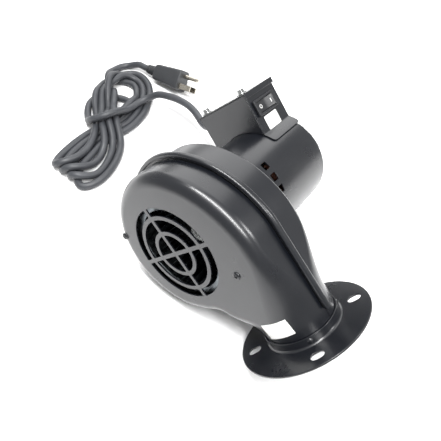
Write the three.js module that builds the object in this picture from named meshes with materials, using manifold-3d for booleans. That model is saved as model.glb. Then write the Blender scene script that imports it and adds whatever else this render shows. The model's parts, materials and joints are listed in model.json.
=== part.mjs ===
// Combustion fan: a small centrifugal blower with a round outlet flange, an enclosed motor, an
// electrical box with a rocker switch, and a power cord that lies beside it, wound into a hank.
// Millimetres, +Z up. The fan lies on a table, on the rim of its flange, the seam of its housing
// and the rear edge of its motor.
//
// The blower is drawn in its own frame and then laid down: z runs up the outlet's axis from the
// flange's underside, y along the motor's shaft towards the motor's rear, x to the right seen
// from the inlet.
import * as THREE from 'three';
import { mergeVertices } from 'three/addons/utils/BufferGeometryUtils.js';
import { LoftGeometry } from 'three/addons/geometries/LoftGeometry.js';
import Module from 'manifold-3d';

// ---------------------------------------------------------------- driving dimensions
const GAP = 0.3;                 // between pieces that touch
const SHEET = 1.2;               // housing and box sheet steel

const NECK_R = 27.8;             // outside of the round outlet neck
const HALF_DEPTH = NECK_R;       // housing face to seam, flush with the neck
const EDGE_STEP = 30;            // degrees per facet of a rounded edge
const NECK_FLAT = 0.4;           // half width left flat at the neck's front and back
const NECK_END = 1.0;            // lower end of the neck, inside the collar
const WHEEL_X = -52;             // shaft axis from the outlet's axis
const WHEEL_Z = 92;              // shaft axis above the flange's underside
const EDGE_R = 9.5;              // rounding of the housing's front edge
const REAR_EDGE_R = 4;           // rounding of the housing's rear edge
const SEAM_OUT = 5;              // how far the rolled seam stands out of the wall
const SEAM_R = 1.9;              // half thickness of the rolled seam
const SEAM_END_Z = 16;           // the seam runs out above the collar
// scroll radius about the shaft, by angle from the tongue round to the neck's right side
const SCROLL = [[-94, 56.7], [-120, 57.9], [-145, 59.2], [-171, 60.4], [163, 60.7], [139, 61.0],
  [115, 61.8], [90, 63.4], [68, 64.6], [47, 66.2], [30, 68.6], [14, 71.6], [0, 75.0]];
const TONGUE = [[-48.6, 34.6], [-43.4, 32.6], [-40.2, 28.6]];

const INLET_R = 39.5;            // grille: opening, two rings and four spokes
const RING_1_R = 31.2;
const RING_2_R = 18;
const RIB_W = 2.6;
const SPOKE_TURN = 4;            // degrees
const FACE_SCREW = [[-48.7, 24.2], [50.1, -24.6]];  // from the shaft axis
const FACE_SCREW_R = 3.1;

const FLANGE_R = 52;
const FLANGE_T = 1.5;
const COLLAR_IN = NECK_R + GAP;
const COLLAR_OUT = COLLAR_IN + SHEET;
const COLLAR_TOP = 8.5;
const SLOT_R = 41.3;             // slots' distance from the outlet's axis
const SLOT_LENGTH = 10.2;
const SLOT_WIDTH = 7.2;
const RIVETS = 4;
const RIVET_R = 1.2;

const WHEEL_R = 43;              // squirrel cage
const WHEEL_IN = 36;
const WHEEL_FRONT = 4.8 - HALF_DEPTH;
const WHEEL_BACK = HALF_DEPTH - 9.8;
const BLADES = 30;
const BLADE_T = 0.7;
const RIM_T = 1.0;

const SHAFT_R = 3.97;
const HUB_R = 8.5;
const HUB_LENGTH = 14;
const SHAFT_FRONT = WHEEL_BACK - 17;

const MOTOR_R = 42.5;
const MOTOR_FRONT = HALF_DEPTH + GAP;
const MOTOR_REAR = 133.7;
const SHAFT_REAR = MOTOR_REAR - 6.7;
const MOTOR_EDGE_R = 5.5;
const MOTOR_T = 1.2;
const VENTS = 24;
const VENT_SIZE = 6.4;
const VENT_Y = 60.9;
const VENT_TURN = 8.1;           // degrees
const VENT_GAP = [30, 105];       // degrees, plain shell beside the electrical box
const STATOR_FRONT = 70;
const STATOR_REAR = 108;
const STATOR_R = MOTOR_R - MOTOR_T - GAP;
const BOLT_R = 1.9;
const BOLT_CIRCLE = MOTOR_R - 9.5;
const STATOR_BORE = BOLT_CIRCLE - 11;
const WINDING_R = BOLT_CIRCLE - 2.4;
const MOUNT_CIRCLE = 24;

const BOX_LEFT = -82.5;
const BOX_RIGHT = -24.8;
const BOX_FRONT = 91.2;
const BOX_REAR = 132.7;
const BOX_TOP = 162.3;
const BOX_T = 1.0;
const LIP = 3.6;                 // down-turned edge of the box's cover
const FOOT_ANGLE = 15.5;         // degrees of the motor that each foot covers
const COVER_SCREW_X = [-75.6, -29.2];
const COVER_SCREW_Y = 96;

const SWITCH_Y = 111.1;          // rocker switch in the box's right side
const SWITCH_Z = 147.2;
const BEZEL = [2.0, 30, 14];
const SWITCH_DEPTH = 15;
const ROCKER = [22, 9.6];
const ROCKER_TILT = 10;          // degrees each way

const CORD_R = 3.9;
const RELIEF_Y = 122;            // strain relief in the box's left side
const RELIEF_Z = 149.5;
const RELIEF_R = 8.5;
const RELIEF_LENGTH = 24;            // from the box's wall to the tip of the tapered sleeve

// cord on the table: route of the free lengths and outline of the hank, in the table's frame
const LEAD = [[-113, 77.5, 37.6], [-122, 81.5, 33.5], [-135, 89.5, 32], [-148, 95, 32.5],
  [-165, 98.6, 30.5], [-183, 101, 26], [-199, 101, 21], [-211, 100, 18], [-224, 92, 16]];
const TAIL = [[-291, 128, 12], [-281, 138, 12], [-269, 141.5, 10.5]];
const HANK = [[-257, 134], [-241, 126], [-225, 111], [-210, 97], [-200, 84], [-196, 68], [-197, 52],
  [-193, 36], [-182, 24], [-172, 10], [-164, -6], [-162, -24], [-166, -42], [-177, -49], [-192, -47],
  [-208, -46], [-223, -44], [-232, -34], [-232, -14], [-235, 6], [-242, 24], [-258, 34], [-272, 48],
  [-280, 66], [-287, 86], [-295, 100], [-302, 116], [-297, 131], [-285, 139], [-272, 140]];
const HANK_TOP = 27;
const PLUG_AT = [-253.5, 139.8, 9.5];   // where the cord enters the plug's sleeve
const PLUG_AXIS = [0.995, 0.045, 0.094];
const PLUG_ROLL = 49;                // degrees the ground pin's side is turned from level
const SLEEVE_LENGTH = 14;
const PLUG_LENGTH = 40;
const PIN_PITCH = 11.9;              // ground pin to the line of the blades
const BLADE_PITCH = 12.7;
const BLADE = [1.5, 6.35, 16.5];
const GROUND_PIN_R = 2.4;
const GROUND_PIN_LENGTH = 20.8;
const PIN_DEPTH = 4;

// ---------------------------------------------------------------- solids and materials
const wasm = await Module();
wasm.setup();

const paint = () => new THREE.MeshStandardMaterial({ color: 0x3a3b3d, roughness: 0.32, metalness: 0.3 });
const galvanised = () => new THREE.MeshStandardMaterial({ color: 0x9aa0a3, roughness: 0.35, metalness: 0.9 });
const steel = () => new THREE.MeshStandardMaterial({ color: 0xb4b5b6, roughness: 0.3, metalness: 1 });
const lamination = () => new THREE.MeshStandardMaterial({ color: 0x5c5f63, roughness: 0.5, metalness: 0.8 });
const copper = () => new THREE.MeshStandardMaterial({ color: 0xa4552c, roughness: 0.4, metalness: 0.8 });
const bronze = () => new THREE.MeshStandardMaterial({ color: 0x9a7440, roughness: 0.45, metalness: 0.8 });
const brass = () => new THREE.MeshStandardMaterial({ color: 0xb9a36a, roughness: 0.3, metalness: 1 });
const rubber = () => new THREE.MeshStandardMaterial({ color: 0x2d2f31, roughness: 0.55, metalness: 0 });
const nylon = () => new THREE.MeshStandardMaterial({ color: 0x1c1d1f, roughness: 0.4, metalness: 0 });
const paper = () => new THREE.MeshStandardMaterial({ color: 0xeeeeea, roughness: 0.6, metalness: 0 });
const insulation = (color) => new THREE.MeshStandardMaterial({ color, roughness: 0.5, metalness: 0 });

/** A closed three.js geometry as a solid. */
function solid(geometry) {
  const bare = new THREE.BufferGeometry().copy(geometry);
  bare.deleteAttribute('normal');
  bare.deleteAttribute('uv');
  const merged = mergeVertices(bare, 1e-4);
  return new wasm.Manifold(new wasm.Mesh({
    numProp: 3,
    vertProperties: new Float32Array(merged.getAttribute('position').array),
    triVerts: new Uint32Array(merged.getIndex().array),
  }));
}

/** A solid as a geometry again. */
function geometryOf(body) {
  const mesh = body.getMesh();
  const geometry = new THREE.BufferGeometry();
  const step = mesh.numProp;
  const points = new Float32Array(mesh.numVert * 3);
  for (let i = 0; i < mesh.numVert; i++) {
    for (let k = 0; k < 3; k++) points[3 * i + k] = mesh.vertProperties[step * i + k];
  }
  geometry.setAttribute('position', new THREE.BufferAttribute(points, 3));
  geometry.setIndex(new THREE.BufferAttribute(new Uint32Array(mesh.triVerts), 1));
  geometry.computeVertexNormals();
  return geometry;
}

const join = (bodies) => bodies.reduce((a, b) => a.add(b));
const cut = (body, tools) => tools.reduce((a, b) => a.subtract(b), body);

function piece(name, body, material) {
  const geometry = body.isBufferGeometry ? body : geometryOf(body);
  const mesh = new THREE.Mesh(geometry, material);
  mesh.name = name;
  return mesh;
}

const degrees = THREE.MathUtils.degToRad;
const polar = (r, angle) => [r * Math.cos(degrees(angle)), r * Math.sin(degrees(angle))];

/** Box between two corners. */
function block(low, high) {
  const size = high.map((v, i) => v - low[i]);
  return new THREE.BoxGeometry(...size)
    .translate(...low.map((v, i) => v + size[i] / 2));
}

/** Solid of revolution about z from a profile of [radius, height] points, closed if off the axis. */
function lathe(profile, sides) {
  const ring = profile.map(([r, z]) => new THREE.Vector2(r, z));
  if (THREE.ShapeUtils.isClockWise(ring)) ring.reverse();
  if (profile[0][0] !== 0) ring.push(ring[0].clone());
  return new THREE.LatheGeometry(ring, sides).rotateX(Math.PI / 2);
}

/** The same about the shaft's axis, with heights along y. */
const turned = (profile, sides) => lathe(profile.map(([r, y]) => [r, -y]), sides)
  .rotateX(Math.PI / 2).translate(WHEEL_X, 0, WHEEL_Z);

const rod = (r, low, high, sides) => turned([[0, high], [r, high], [r, low], [0, low]], sides);
const tubeRing = (rIn, rOut, low, high, sides) =>
  turned([[rIn, high], [rOut, high], [rOut, low], [rIn, low]], sides);

/** Closed solid through a run of sections, each turned so that its faces point out. */
function loft(sections) {
  const [first, second] = sections;
  const normal = new THREE.Vector3();
  first.forEach((p, i) => normal.add(p.clone().cross(first[(i + 1) % first.length])));
  const onward = new THREE.Vector3();
  first.forEach((p, i) => onward.add(second[i]).sub(p));
  const ordered = normal.dot(onward) < 0 ? sections.map((s) => [...s].reverse()) : sections;
  return solid(new LoftGeometry(ordered, { capStart: true, capEnd: true }));
}

/** Flat outline of [x, y] points as a shape. */
function outline(points) {
  return new THREE.Shape(points.map(([x, y]) => new THREE.Vector2(x, y)));
}

/** Outline in the x-z plane extruded from one y to another. */
function slabXZ(points, low, high) {
  return new THREE.ExtrudeGeometry(outline(points), { depth: high - low, bevelEnabled: false })
    .rotateX(Math.PI / 2).translate(0, high, 0);
}

/** Points of an arc about [x, z]. */
function arc(x, z, r, from, to, steps) {
  return Array.from({ length: steps + 1 }, (_, i) => {
    const [a, b] = polar(r, from + (to - from) * i / steps);
    return [x + a, z + b];
  });
}

/** Stadium about the origin along x. */
function stadium(length, width, steps) {
  const reach = (length - width) / 2;
  return [...arc(reach, 0, width / 2, -90, 90, steps), ...arc(-reach, 0, width / 2, 90, 270, steps)];
}

/** Round bar along a curve. */
function bar(points, r, sides, steps) {
  const path = new THREE.CatmullRomCurve3(points.map((p) => new THREE.Vector3(...p)), false,
    'centripetal');
  const section = outline(arc(0, 0, r, 0, 360 - 360 / sides, sides - 1));
  return new THREE.ExtrudeGeometry(section, { steps, extrudePath: path, bevelEnabled: false });
}

/** Turned screw with its head's seat at z = 0, head up and shank down. */
function screwBody(headR, headH, shankR, length, sides) {
  return lathe([[0, headH], [headR * 0.72, headH], [headR, headH * 0.45], [headR, 0], [shankR, 0],
    [shankR, -length], [0, -length - shankR * 0.6]], sides);
}

// ---------------------------------------------------------------- housing
/** Stations of the housing's outline: point, outward normal and share of the way down the neck. */
function housingStations() {
  const knots = [[-NECK_R, NECK_END], [-NECK_R, 5], [-NECK_R, COLLAR_TOP]];
  for (const [x, z] of [...TONGUE].reverse()) knots.push([x, z]);
  for (const [angle, r] of SCROLL) {
    const [a, b] = polar(r, angle);
    knots.push([WHEEL_X + a, WHEEL_Z + b]);
  }
  knots.push([24.3, 76], [25.6, 56], [26.8, 36], [NECK_R, 16], [NECK_R, COLLAR_TOP],
    [NECK_R, NECK_END]);
  const curve = new THREE.CatmullRomCurve3(
    knots.map(([x, z]) => new THREE.Vector3(x, 0, z)), false, 'centripetal');
  const steps = 44;
  return Array.from({ length: steps + 1 }, (_, i) => {
    const p = curve.getPointAt(i / steps);
    const t = curve.getTangentAt(i / steps);
    const n = new THREE.Vector2(-t.z, t.x);
    if (i === 0) n.set(-1, 0);
    if (i === steps) n.set(1, 0);
    // the rounded edge grows down the neck until it is the neck's own radius
    const start = p.x > -10 ? 80 : 33;
    const end = p.x > -10 ? 22 : 7;
    const share = i > steps * 0.15 && i < steps * 0.6 ? 0
      : THREE.MathUtils.smoothstep(start - p.z, 0, start - end);
    return { p: new THREE.Vector2(p.x, p.z), n, share };
  });
}

const STATIONS = housingStations();

/**
 * Filled half of the housing: side -1 is the front half, +1 the rear half. The outline is grown
 * by `grow` all round, starts at y = side * from and runs `extra` past the neck's end.
 */
function halfHousing(side, grow, from, extra) {
  const edge = side < 0 ? EDGE_R : REAR_EDGE_R;
  const last = STATIONS.length - 1;
  const layer = (turn) => STATIONS.map(({ p, n, share }, i) => {
    const r = THREE.MathUtils.lerp(edge, NECK_R - NECK_FLAT, share) + grow;
    const inward = grow - (turn < 0 ? 0 : r * (1 - Math.cos(degrees(turn))));
    const y = turn < 0 ? from : HALF_DEPTH + grow - r + r * Math.sin(degrees(turn));
    const z = i === 0 || i === last ? NECK_END - extra : p.y + n.y * inward;
    return new THREE.Vector3(p.x + n.x * inward, side * y, z);
  });
  const turns = Array.from({ length: 90 / EDGE_STEP + 1 }, (_, i) => i * EDGE_STEP);
  return loft([-1, ...turns].map(layer));
}

/** What the collar sizes off the neck where it enters. */
const neckTrim = () => solid(lathe([[NECK_R, -1], [NECK_R + 12, -1], [NECK_R + 12, COLLAR_TOP + GAP],
  [NECK_R, COLLAR_TOP + GAP]], 44));

/** Closed band that follows the housing's outline: a section of [outward, y] points. */
function seamBand(section) {
  const run = STATIONS.filter(({ p }) => p.y > SEAM_END_Z);
  return loft(run.map(({ p, n }) => section.map(([out, y]) =>
    new THREE.Vector3(p.x + n.x * out, y, p.y + n.y * out))));
}

/** Grille's openings: between the rings, cut by four spokes. */
function grilleHoles() {
  const rings = [[RING_1_R + RIB_W / 2, INLET_R], [RING_2_R + RIB_W / 2, RING_1_R - RIB_W / 2],
    [0, RING_2_R - RIB_W / 2]];
  const holes = [];
  for (let k = 0; k < 4; k++) {
    for (const [rIn, rOut] of rings) {
      const half = (r) => THREE.MathUtils.radToDeg(Math.asin(RIB_W / 2 / r));
      const mid = SPOKE_TURN + 45 + 90 * k;
      const outer = arc(WHEEL_X, WHEEL_Z, rOut, mid - 45 + half(rOut), mid + 45 - half(rOut), 6);
      const inner = rIn === 0
        ? [[WHEEL_X + polar(RIB_W / Math.SQRT2, mid)[0], WHEEL_Z + polar(RIB_W / Math.SQRT2, mid)[1]]]
        : arc(WHEEL_X, WHEEL_Z, rIn, mid + 45 - half(rIn), mid - 45 + half(rIn), 5);
      holes.push(solid(slabXZ([...outer, ...inner], -HALF_DEPTH - 2, -HALF_DEPTH + 3)));
    }
  }
  return holes;
}

function rivetHoles() {
  return Array.from({ length: RIVETS }, (_, k) =>
    solid(new THREE.CylinderGeometry(RIVET_R + GAP, RIVET_R + GAP, 8, 8).rotateZ(Math.PI / 2)
      .translate(NECK_R, 0, COLLAR_TOP / 2 + 1).rotateZ(degrees(rivetAngle(k)))));
}

const rivetAngle = (k) => 45 + 90 * k;

function frontShell() {
  const screwHoles = FACE_SCREW.map(([x, z]) => solid(
    new THREE.CylinderGeometry(FACE_SCREW_R * 0.5 + GAP, FACE_SCREW_R * 0.5 + GAP, 6, 12)
      .translate(WHEEL_X + x, -HALF_DEPTH, WHEEL_Z + z)));
  const flange = seamBand([[-0.4, -GAP / 2], [-0.4, -GAP / 2 - SHEET], [SEAM_OUT - 2.2, -GAP / 2 - SHEET],
    [SEAM_OUT - 2.2, -GAP / 2]]);
  const wall = cut(halfHousing(-1, 0, GAP / 2, 0), [halfHousing(-1, -SHEET, -2, 2)]);
  return piece('front_shell', cut(wall.add(flange), [...grilleHoles(), ...screwHoles, ...rivetHoles(),
    neckTrim()]),
    paint());
}

/** The rear half carries the rolled seam, which folds over the front half's flange. */
function rearShell() {
  const lip = SHEET + GAP * 1.5;
  const seam = seamBand([[-0.4, GAP / 2], [SEAM_OUT - 1.9, GAP / 2], [SEAM_OUT - 1.9, -lip],
    [SEAM_OUT - 3.4, -lip], [SEAM_OUT - 2.9, -lip - 0.9], [SEAM_OUT - 1.4, -lip - 1.1],
    [SEAM_OUT - 0.3, -lip], [SEAM_OUT, 0], [SEAM_OUT - 0.5, SEAM_R], [SEAM_OUT - 2, SEAM_R + 0.7],
    [-0.4, SEAM_R]]);
  const wall = cut(halfHousing(1, 0, GAP / 2, 0), [halfHousing(1, -SHEET, -2, 2)]);
  const shaftHole = solid(rod(11, HALF_DEPTH - 5, HALF_DEPTH + 5, 20));
  return piece('rear_shell', cut(wall.add(seam), [shaftHole, ...mountHoles(), ...rivetHoles(),
    neckTrim()]), paint());
}

function faceScrew(k) {
  const [x, z] = FACE_SCREW[k];
  const body = solid(screwBody(FACE_SCREW_R, 1.6, FACE_SCREW_R * 0.5, 6, 12));
  const drive = [0, Math.PI / 2].map((a) => solid(new THREE.BoxGeometry(3.6, 0.8, 1.6)
    .translate(0, 0, 1.6).rotateZ(a + 0.4)));
  return piece(`housing_screw_${k + 1}`, geometryOf(cut(body, drive)).rotateX(Math.PI / 2)
    .translate(WHEEL_X + x, -HALF_DEPTH - GAP, WHEEL_Z + z), steel());
}

// ---------------------------------------------------------------- outlet flange
function outletFlange() {
  const body = solid(lathe([[COLLAR_IN, 0], [FLANGE_R, 0], [FLANGE_R, FLANGE_T],
    [COLLAR_OUT + 1.6, FLANGE_T], [COLLAR_OUT + 0.4, FLANGE_T + 0.5], [COLLAR_OUT, FLANGE_T + 1.6],
    [COLLAR_OUT, COLLAR_TOP], [COLLAR_IN, COLLAR_TOP]], 44));
  // the slots all lie along one diagonal of the flange
  const slots = [45, 135, 225, 315].map((angle) => {
    const [x, y] = polar(SLOT_R, angle);
    return solid(new THREE.ExtrudeGeometry(outline(stadium(SLOT_LENGTH, SLOT_WIDTH, 5)),
      { depth: FLANGE_T + 4, bevelEnabled: false }).rotateZ(degrees(45)).translate(x, y, -2));
  });
  return piece('outlet_flange', cut(body, [...slots, ...rivetHoles()]), paint());
}

/** Rivet through the collar and the neck, head outside. */
function flangeRivet(k) {
  const head = COLLAR_OUT + GAP;
  const tail = NECK_R * Math.cos(degrees(EDGE_STEP / 2)) - SHEET - GAP;
  const profile = [[0, head + 0.8], [1.5, head + 0.6], [2.2, head], [RIVET_R, head], [RIVET_R, tail],
    [2, tail], [1.8, tail - 0.7], [0, tail - 0.7]];
  return piece(`flange_rivet_${k + 1}`, lathe(profile, 8).rotateY(Math.PI / 2)
    .translate(0, 0, COLLAR_TOP / 2 + 1).rotateZ(degrees(rivetAngle(k))), paint());
}

// ---------------------------------------------------------------- wheel
/** Strip of blades between two thin rims, curved forwards. */
function bladeStrip() {
  const section = [];
  const inner = [];
  const steps = 2;
  for (let i = 0; i <= steps; i++) {
    const s = i / steps;
    const r = THREE.MathUtils.lerp(WHEEL_IN, WHEEL_R - 0.3, s);
    const bend = 1.5 * s * (1 - s) * 6 - 5.5 * s * s;   // degrees along the rim
    section.push([r, bend]);
    inner.push([r, bend + THREE.MathUtils.radToDeg(BLADE_T / r)]);
  }
  const points = [...section, ...inner.reverse()].map(([r, a]) => polar(r, a));
  const low = WHEEL_FRONT + RIM_T + GAP;
  const high = WHEEL_BACK - RIM_T - GAP;
  const blade = slabXZ(points, low + 0.5, high - 0.5);
  const bodies = Array.from({ length: BLADES }, (_, k) => solid(
    blade.clone().rotateY(2 * Math.PI * k / BLADES).translate(WHEEL_X, 0, WHEEL_Z)));
  bodies.push(solid(tubeRing(WHEEL_IN + 0.4, WHEEL_R - 0.2, low, low + RIM_T, 32)));
  bodies.push(solid(tubeRing(WHEEL_IN + 0.4, WHEEL_R - 0.2, high - RIM_T, high, 32)));
  return piece('wheel_blade_strip', join(bodies), galvanised());
}

const wheelEndRing = () => piece('wheel_end_ring',
  tubeRing(WHEEL_IN - 0.8, WHEEL_R + 0.5, WHEEL_FRONT, WHEEL_FRONT + RIM_T, 32), galvanised());

const wheelBackDisc = () => piece('wheel_back_disc', turned([[SHAFT_R + GAP, WHEEL_BACK],
  [WHEEL_R + 0.5, WHEEL_BACK], [WHEEL_R + 0.5, WHEEL_BACK - RIM_T], [30, WHEEL_BACK - RIM_T],
  [24, WHEEL_BACK - RIM_T - 2.2], [SHAFT_R + GAP, WHEEL_BACK - RIM_T - 2.2]], 32), galvanised());

const HUB_BACK = WHEEL_BACK - RIM_T - 2.2 - GAP;

function wheelHub() {
  const body = solid(turned([[SHAFT_R + GAP, HUB_BACK], [15, HUB_BACK], [15, HUB_BACK - 1.6],
    [HUB_R, HUB_BACK - 2.2], [HUB_R, HUB_BACK - HUB_LENGTH + 0.8], [HUB_R - 0.8, HUB_BACK - HUB_LENGTH],
    [SHAFT_R + GAP, HUB_BACK - HUB_LENGTH]], 20));
  const hole = solid(new THREE.CylinderGeometry(2.3, 2.3, 10, 12).rotateZ(Math.PI / 2)
    .translate(WHEEL_X + HUB_R, HUB_BACK - 8, WHEEL_Z));
  return piece('wheel_hub', cut(body, [hole]), steel());
}

const hubSetScrew = () => piece('hub_set_screw', new THREE.CylinderGeometry(2, 2, 4.4, 12)
  .rotateZ(Math.PI / 2).translate(WHEEL_X + SHAFT_R + GAP + 2.2, HUB_BACK - 8, WHEEL_Z), lamination());

// ---------------------------------------------------------------- motor
function motorShell() {
  const shoulder = (r, y, edge) => [90, 60, 30, 0].map((a) =>
    [r - edge + edge * Math.cos(degrees(90 - a)), y - edge + edge * Math.sin(degrees(90 - a))]);
  const outer = shoulder(MOTOR_R, MOTOR_REAR, MOTOR_EDGE_R);
  const inner = shoulder(MOTOR_R - MOTOR_T, MOTOR_REAR - MOTOR_T, MOTOR_EDGE_R - MOTOR_T).reverse();
  const body = solid(turned([[MOTOR_R, MOTOR_FRONT], ...outer, [11, MOTOR_REAR], [11, MOTOR_REAR - MOTOR_T],
    ...inner, [MOTOR_R - MOTOR_T, MOTOR_FRONT]], 40));
  const vents = [];
  for (let k = 0; k < VENTS; k++) {
    const angle = VENT_TURN + 360 * k / VENTS;
    const turn = -degrees(angle);
    const window = (y) => solid(new THREE.BoxGeometry(6, VENT_SIZE, VENT_SIZE)
      .translate(MOTOR_R, y, 0).rotateY(turn).translate(WHEEL_X, 0, WHEEL_Z));
    if (angle < VENT_GAP[0] || angle > VENT_GAP[1]) vents.push(window(VENT_Y));
    if (k % 2 === 1) vents.push(window(MOTOR_REAR - 0.4));
  }
  const bolts = boltAngles().map((a) => solid(boltRod(BOLT_R + GAP, MOTOR_REAR - 6, MOTOR_REAR + 3, a)));
  return piece('motor_shell', cut(body, [...vents, ...bolts]), paint());
}

const boltAngles = () => [30, 150, 270];

function boltRod(r, low, high, angle) {
  const [a, b] = polar(BOLT_CIRCLE, angle);
  return new THREE.CylinderGeometry(r, r, high - low, 10).translate(WHEEL_X + a, (low + high) / 2,
    WHEEL_Z + b);
}

const mountAngles = () => [90, 210, 330];

function mountHoles() {
  return mountAngles().map((angle) => {
    const [a, b] = polar(MOUNT_CIRCLE, angle);
    return solid(new THREE.CylinderGeometry(BOLT_R + GAP, BOLT_R + GAP, 16, 10)
      .translate(WHEEL_X + a, HALF_DEPTH, WHEEL_Z + b));
  });
}

/** Front end plate inside the shell's mouth, with the front bearing's seat. */
function motorEndPlate() {
  const r = MOTOR_R - MOTOR_T - GAP;
  const body = solid(turned([[9.3, MOTOR_FRONT], [r, MOTOR_FRONT], [r, MOTOR_FRONT + 7],
    [r - 2, MOTOR_FRONT + 7], [r - 3.2, MOTOR_FRONT + 2.4], [13, MOTOR_FRONT + 2.4],
    [13, MOTOR_FRONT + 12], [9.3, MOTOR_FRONT + 12]], 24));
  const bolts = boltAngles().map((a) => solid(boltRod(BOLT_R + GAP, MOTOR_FRONT - 3, MOTOR_FRONT + 9, a)));
  return piece('motor_end_plate', cut(body, [...bolts, ...mountHoles()]), galvanised());
}

const bearing = (name, low, high) => piece(name,
  tubeRing(SHAFT_R + GAP, 9, low, high, 16), bronze());

const thrustWasher = (name, low) => piece(name,
  tubeRing(SHAFT_R + GAP, 8, low, low + 1, 14), nylon());

/** Seat of the rear bearing, fixed in the shell's rear face. */
const rearBearingSeat = () => piece('rear_bearing_seat', turned([[9.3, MOTOR_REAR - 12],
  [13, MOTOR_REAR - 12], [13, MOTOR_REAR - MOTOR_T - GAP - 1.6], [20, MOTOR_REAR - MOTOR_T - GAP - 1.6],
  [20, MOTOR_REAR - MOTOR_T - GAP], [9.3, MOTOR_REAR - MOTOR_T - GAP]], 18), galvanised());

function statorCore() {
  const body = solid(tubeRing(STATOR_BORE, STATOR_R, STATOR_FRONT, STATOR_REAR, 28));
  const bolts = boltAngles().map((a) => solid(boltRod(BOLT_R + GAP, STATOR_FRONT - 3, STATOR_REAR + 3, a)));
  return piece('stator_core', cut(body, bolts), lamination());
}

const winding = (name, low, high) => piece(name, turned([[STATOR_BORE + 1, low], [STATOR_BORE + 3, low],
  [WINDING_R - 0.6, low + 2], [WINDING_R, (low + high) / 2], [WINDING_R - 0.6, high - 2],
  [STATOR_BORE + 3, high], [STATOR_BORE + 1, high]], 20), copper());

const rotorCore = () => piece('rotor_core', turned([[SHAFT_R + GAP, STATOR_REAR + 3],
  [STATOR_BORE - 7, STATOR_REAR + 3], [STATOR_BORE - 2.5, STATOR_REAR], [STATOR_BORE - 0.5, STATOR_REAR],
  [STATOR_BORE - 0.5, STATOR_FRONT], [STATOR_BORE - 2.5, STATOR_FRONT],
  [STATOR_BORE - 7, STATOR_FRONT - 3], [SHAFT_R + GAP, STATOR_FRONT - 3]], 20), lamination());

const motorShaft = () => piece('motor_shaft', turned([[0, SHAFT_REAR], [SHAFT_R - 0.6, SHAFT_REAR],
  [SHAFT_R, SHAFT_REAR - 0.6], [SHAFT_R, SHAFT_FRONT + 0.6], [SHAFT_R - 0.6, SHAFT_FRONT],
  [0, SHAFT_FRONT]], 14), steel());

/** Long bolt from the end plate to a nut behind the shell's rear face. */
function throughBolt(k) {
  const [a, b] = polar(BOLT_CIRCLE, boltAngles()[k]);
  const head = MOTOR_FRONT + 2.4 + GAP;
  const end = MOTOR_REAR + 4.6;
  return piece(`through_bolt_${k + 1}`, lathe([[0, head], [3.4, head], [3.4, head + 2.4],
    [BOLT_R, head + 2.4], [BOLT_R, end], [0, end]], 10)
    .rotateX(-Math.PI / 2).translate(WHEEL_X + a, 0, WHEEL_Z + b), steel());
}

function boltNut(k) {
  const [a, b] = polar(BOLT_CIRCLE, boltAngles()[k]);
  const low = MOTOR_REAR + GAP;
  const body = solid(new THREE.CylinderGeometry(4, 4, 3, 6));
  const hole = solid(new THREE.CylinderGeometry(BOLT_R + GAP, BOLT_R + GAP, 5, 10));
  return piece(`bolt_nut_${k + 1}`, geometryOf(cut(body, [hole]))
    .translate(WHEEL_X + a, low + 1.5, WHEEL_Z + b), steel());
}

/** Screw that holds the motor's end plate to the housing's rear face, head inside the housing. */
function mountScrew(k) {
  const [a, b] = polar(MOUNT_CIRCLE, mountAngles()[k]);
  return piece(`motor_mount_screw_${k + 1}`, screwBody(3.6, 2, BOLT_R, 6.5, 8).rotateX(Math.PI / 2)
    .translate(WHEEL_X + a, HALF_DEPTH - SHEET - GAP, WHEEL_Z + b), steel());
}

// ---------------------------------------------------------------- electrical box
/** Cylinder about the shaft that clears the box's sheets from the motor. */
const motorClearance = (r) => solid(rod(r, MOTOR_FRONT, MOTOR_REAR + 20, 72));

const footPlate = (from, to) => {
  const rIn = MOTOR_R + GAP;
  const points = [...arc(WHEEL_X, WHEEL_Z, rIn, from, to, 5),
    ...arc(WHEEL_X, WHEEL_Z, rIn + BOX_T, to, from, 5)];
  return solid(slabXZ(points, BOX_FRONT, BOX_REAR));
};

/** Cuts the corners of a foot's free end, seen from along the motor's radius. */
function footCorners(angle, side) {
  return [BOX_FRONT, BOX_REAR].map((y) => solid(new THREE.BoxGeometry(8, 6, 6).rotateX(Math.PI / 4)
    .translate(MOTOR_R, y, 0).rotateY(-degrees(angle - side * 0.5)).translate(WHEEL_X, 0, WHEEL_Z)));
}

function boxFrame() {
  const bend = THREE.MathUtils.radToDeg(Math.acos((BOX_RIGHT - WHEEL_X - BOX_T / 2) / (MOTOR_R + GAP)));
  const left = THREE.MathUtils.radToDeg(Math.acos((BOX_LEFT - WHEEL_X + BOX_T / 2) / (MOTOR_R + GAP)));
  const inside = cut(solid(block([BOX_LEFT, BOX_FRONT + BOX_T + GAP, 110], [BOX_RIGHT, BOX_REAR, BOX_TOP])),
    [solid(block([BOX_LEFT + BOX_T, BOX_FRONT - 5, 100], [BOX_RIGHT - BOX_T, BOX_REAR - BOX_T, 170])),
      motorClearance(MOTOR_R + GAP)]);
  const walls = cut(inside, [solid(block([BOX_LEFT - 1, 80, 100], [WHEEL_X - 25, 140, lowestWall(BOX_LEFT)])),
    solid(block([WHEEL_X + 20, 80, 100], [BOX_RIGHT + 1, 140, lowestWall(BOX_RIGHT)]))]);
  const feet = [footPlate(bend - FOOT_ANGLE, bend + 1.5), footPlate(left - 1.5, left + FOOT_ANGLE)];
  const corners = [...footCorners(bend - FOOT_ANGLE, 1), ...footCorners(left + FOOT_ANGLE, -1)];
  const mouth = switchMouth();
  const relief = solid(new THREE.CylinderGeometry(7.3, 7.3, 10, 20).rotateZ(Math.PI / 2)
    .translate(BOX_LEFT, RELIEF_Y, RELIEF_Z));
  return piece('box_frame', cut(join([walls, ...feet]), [...corners, mouth, relief]), paint());
}

/** Height at which a side wall meets its foot. */
const lowestWall = (x) => WHEEL_Z + Math.sqrt((MOTOR_R + GAP) ** 2 - (x - WHEEL_X) ** 2);

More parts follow.
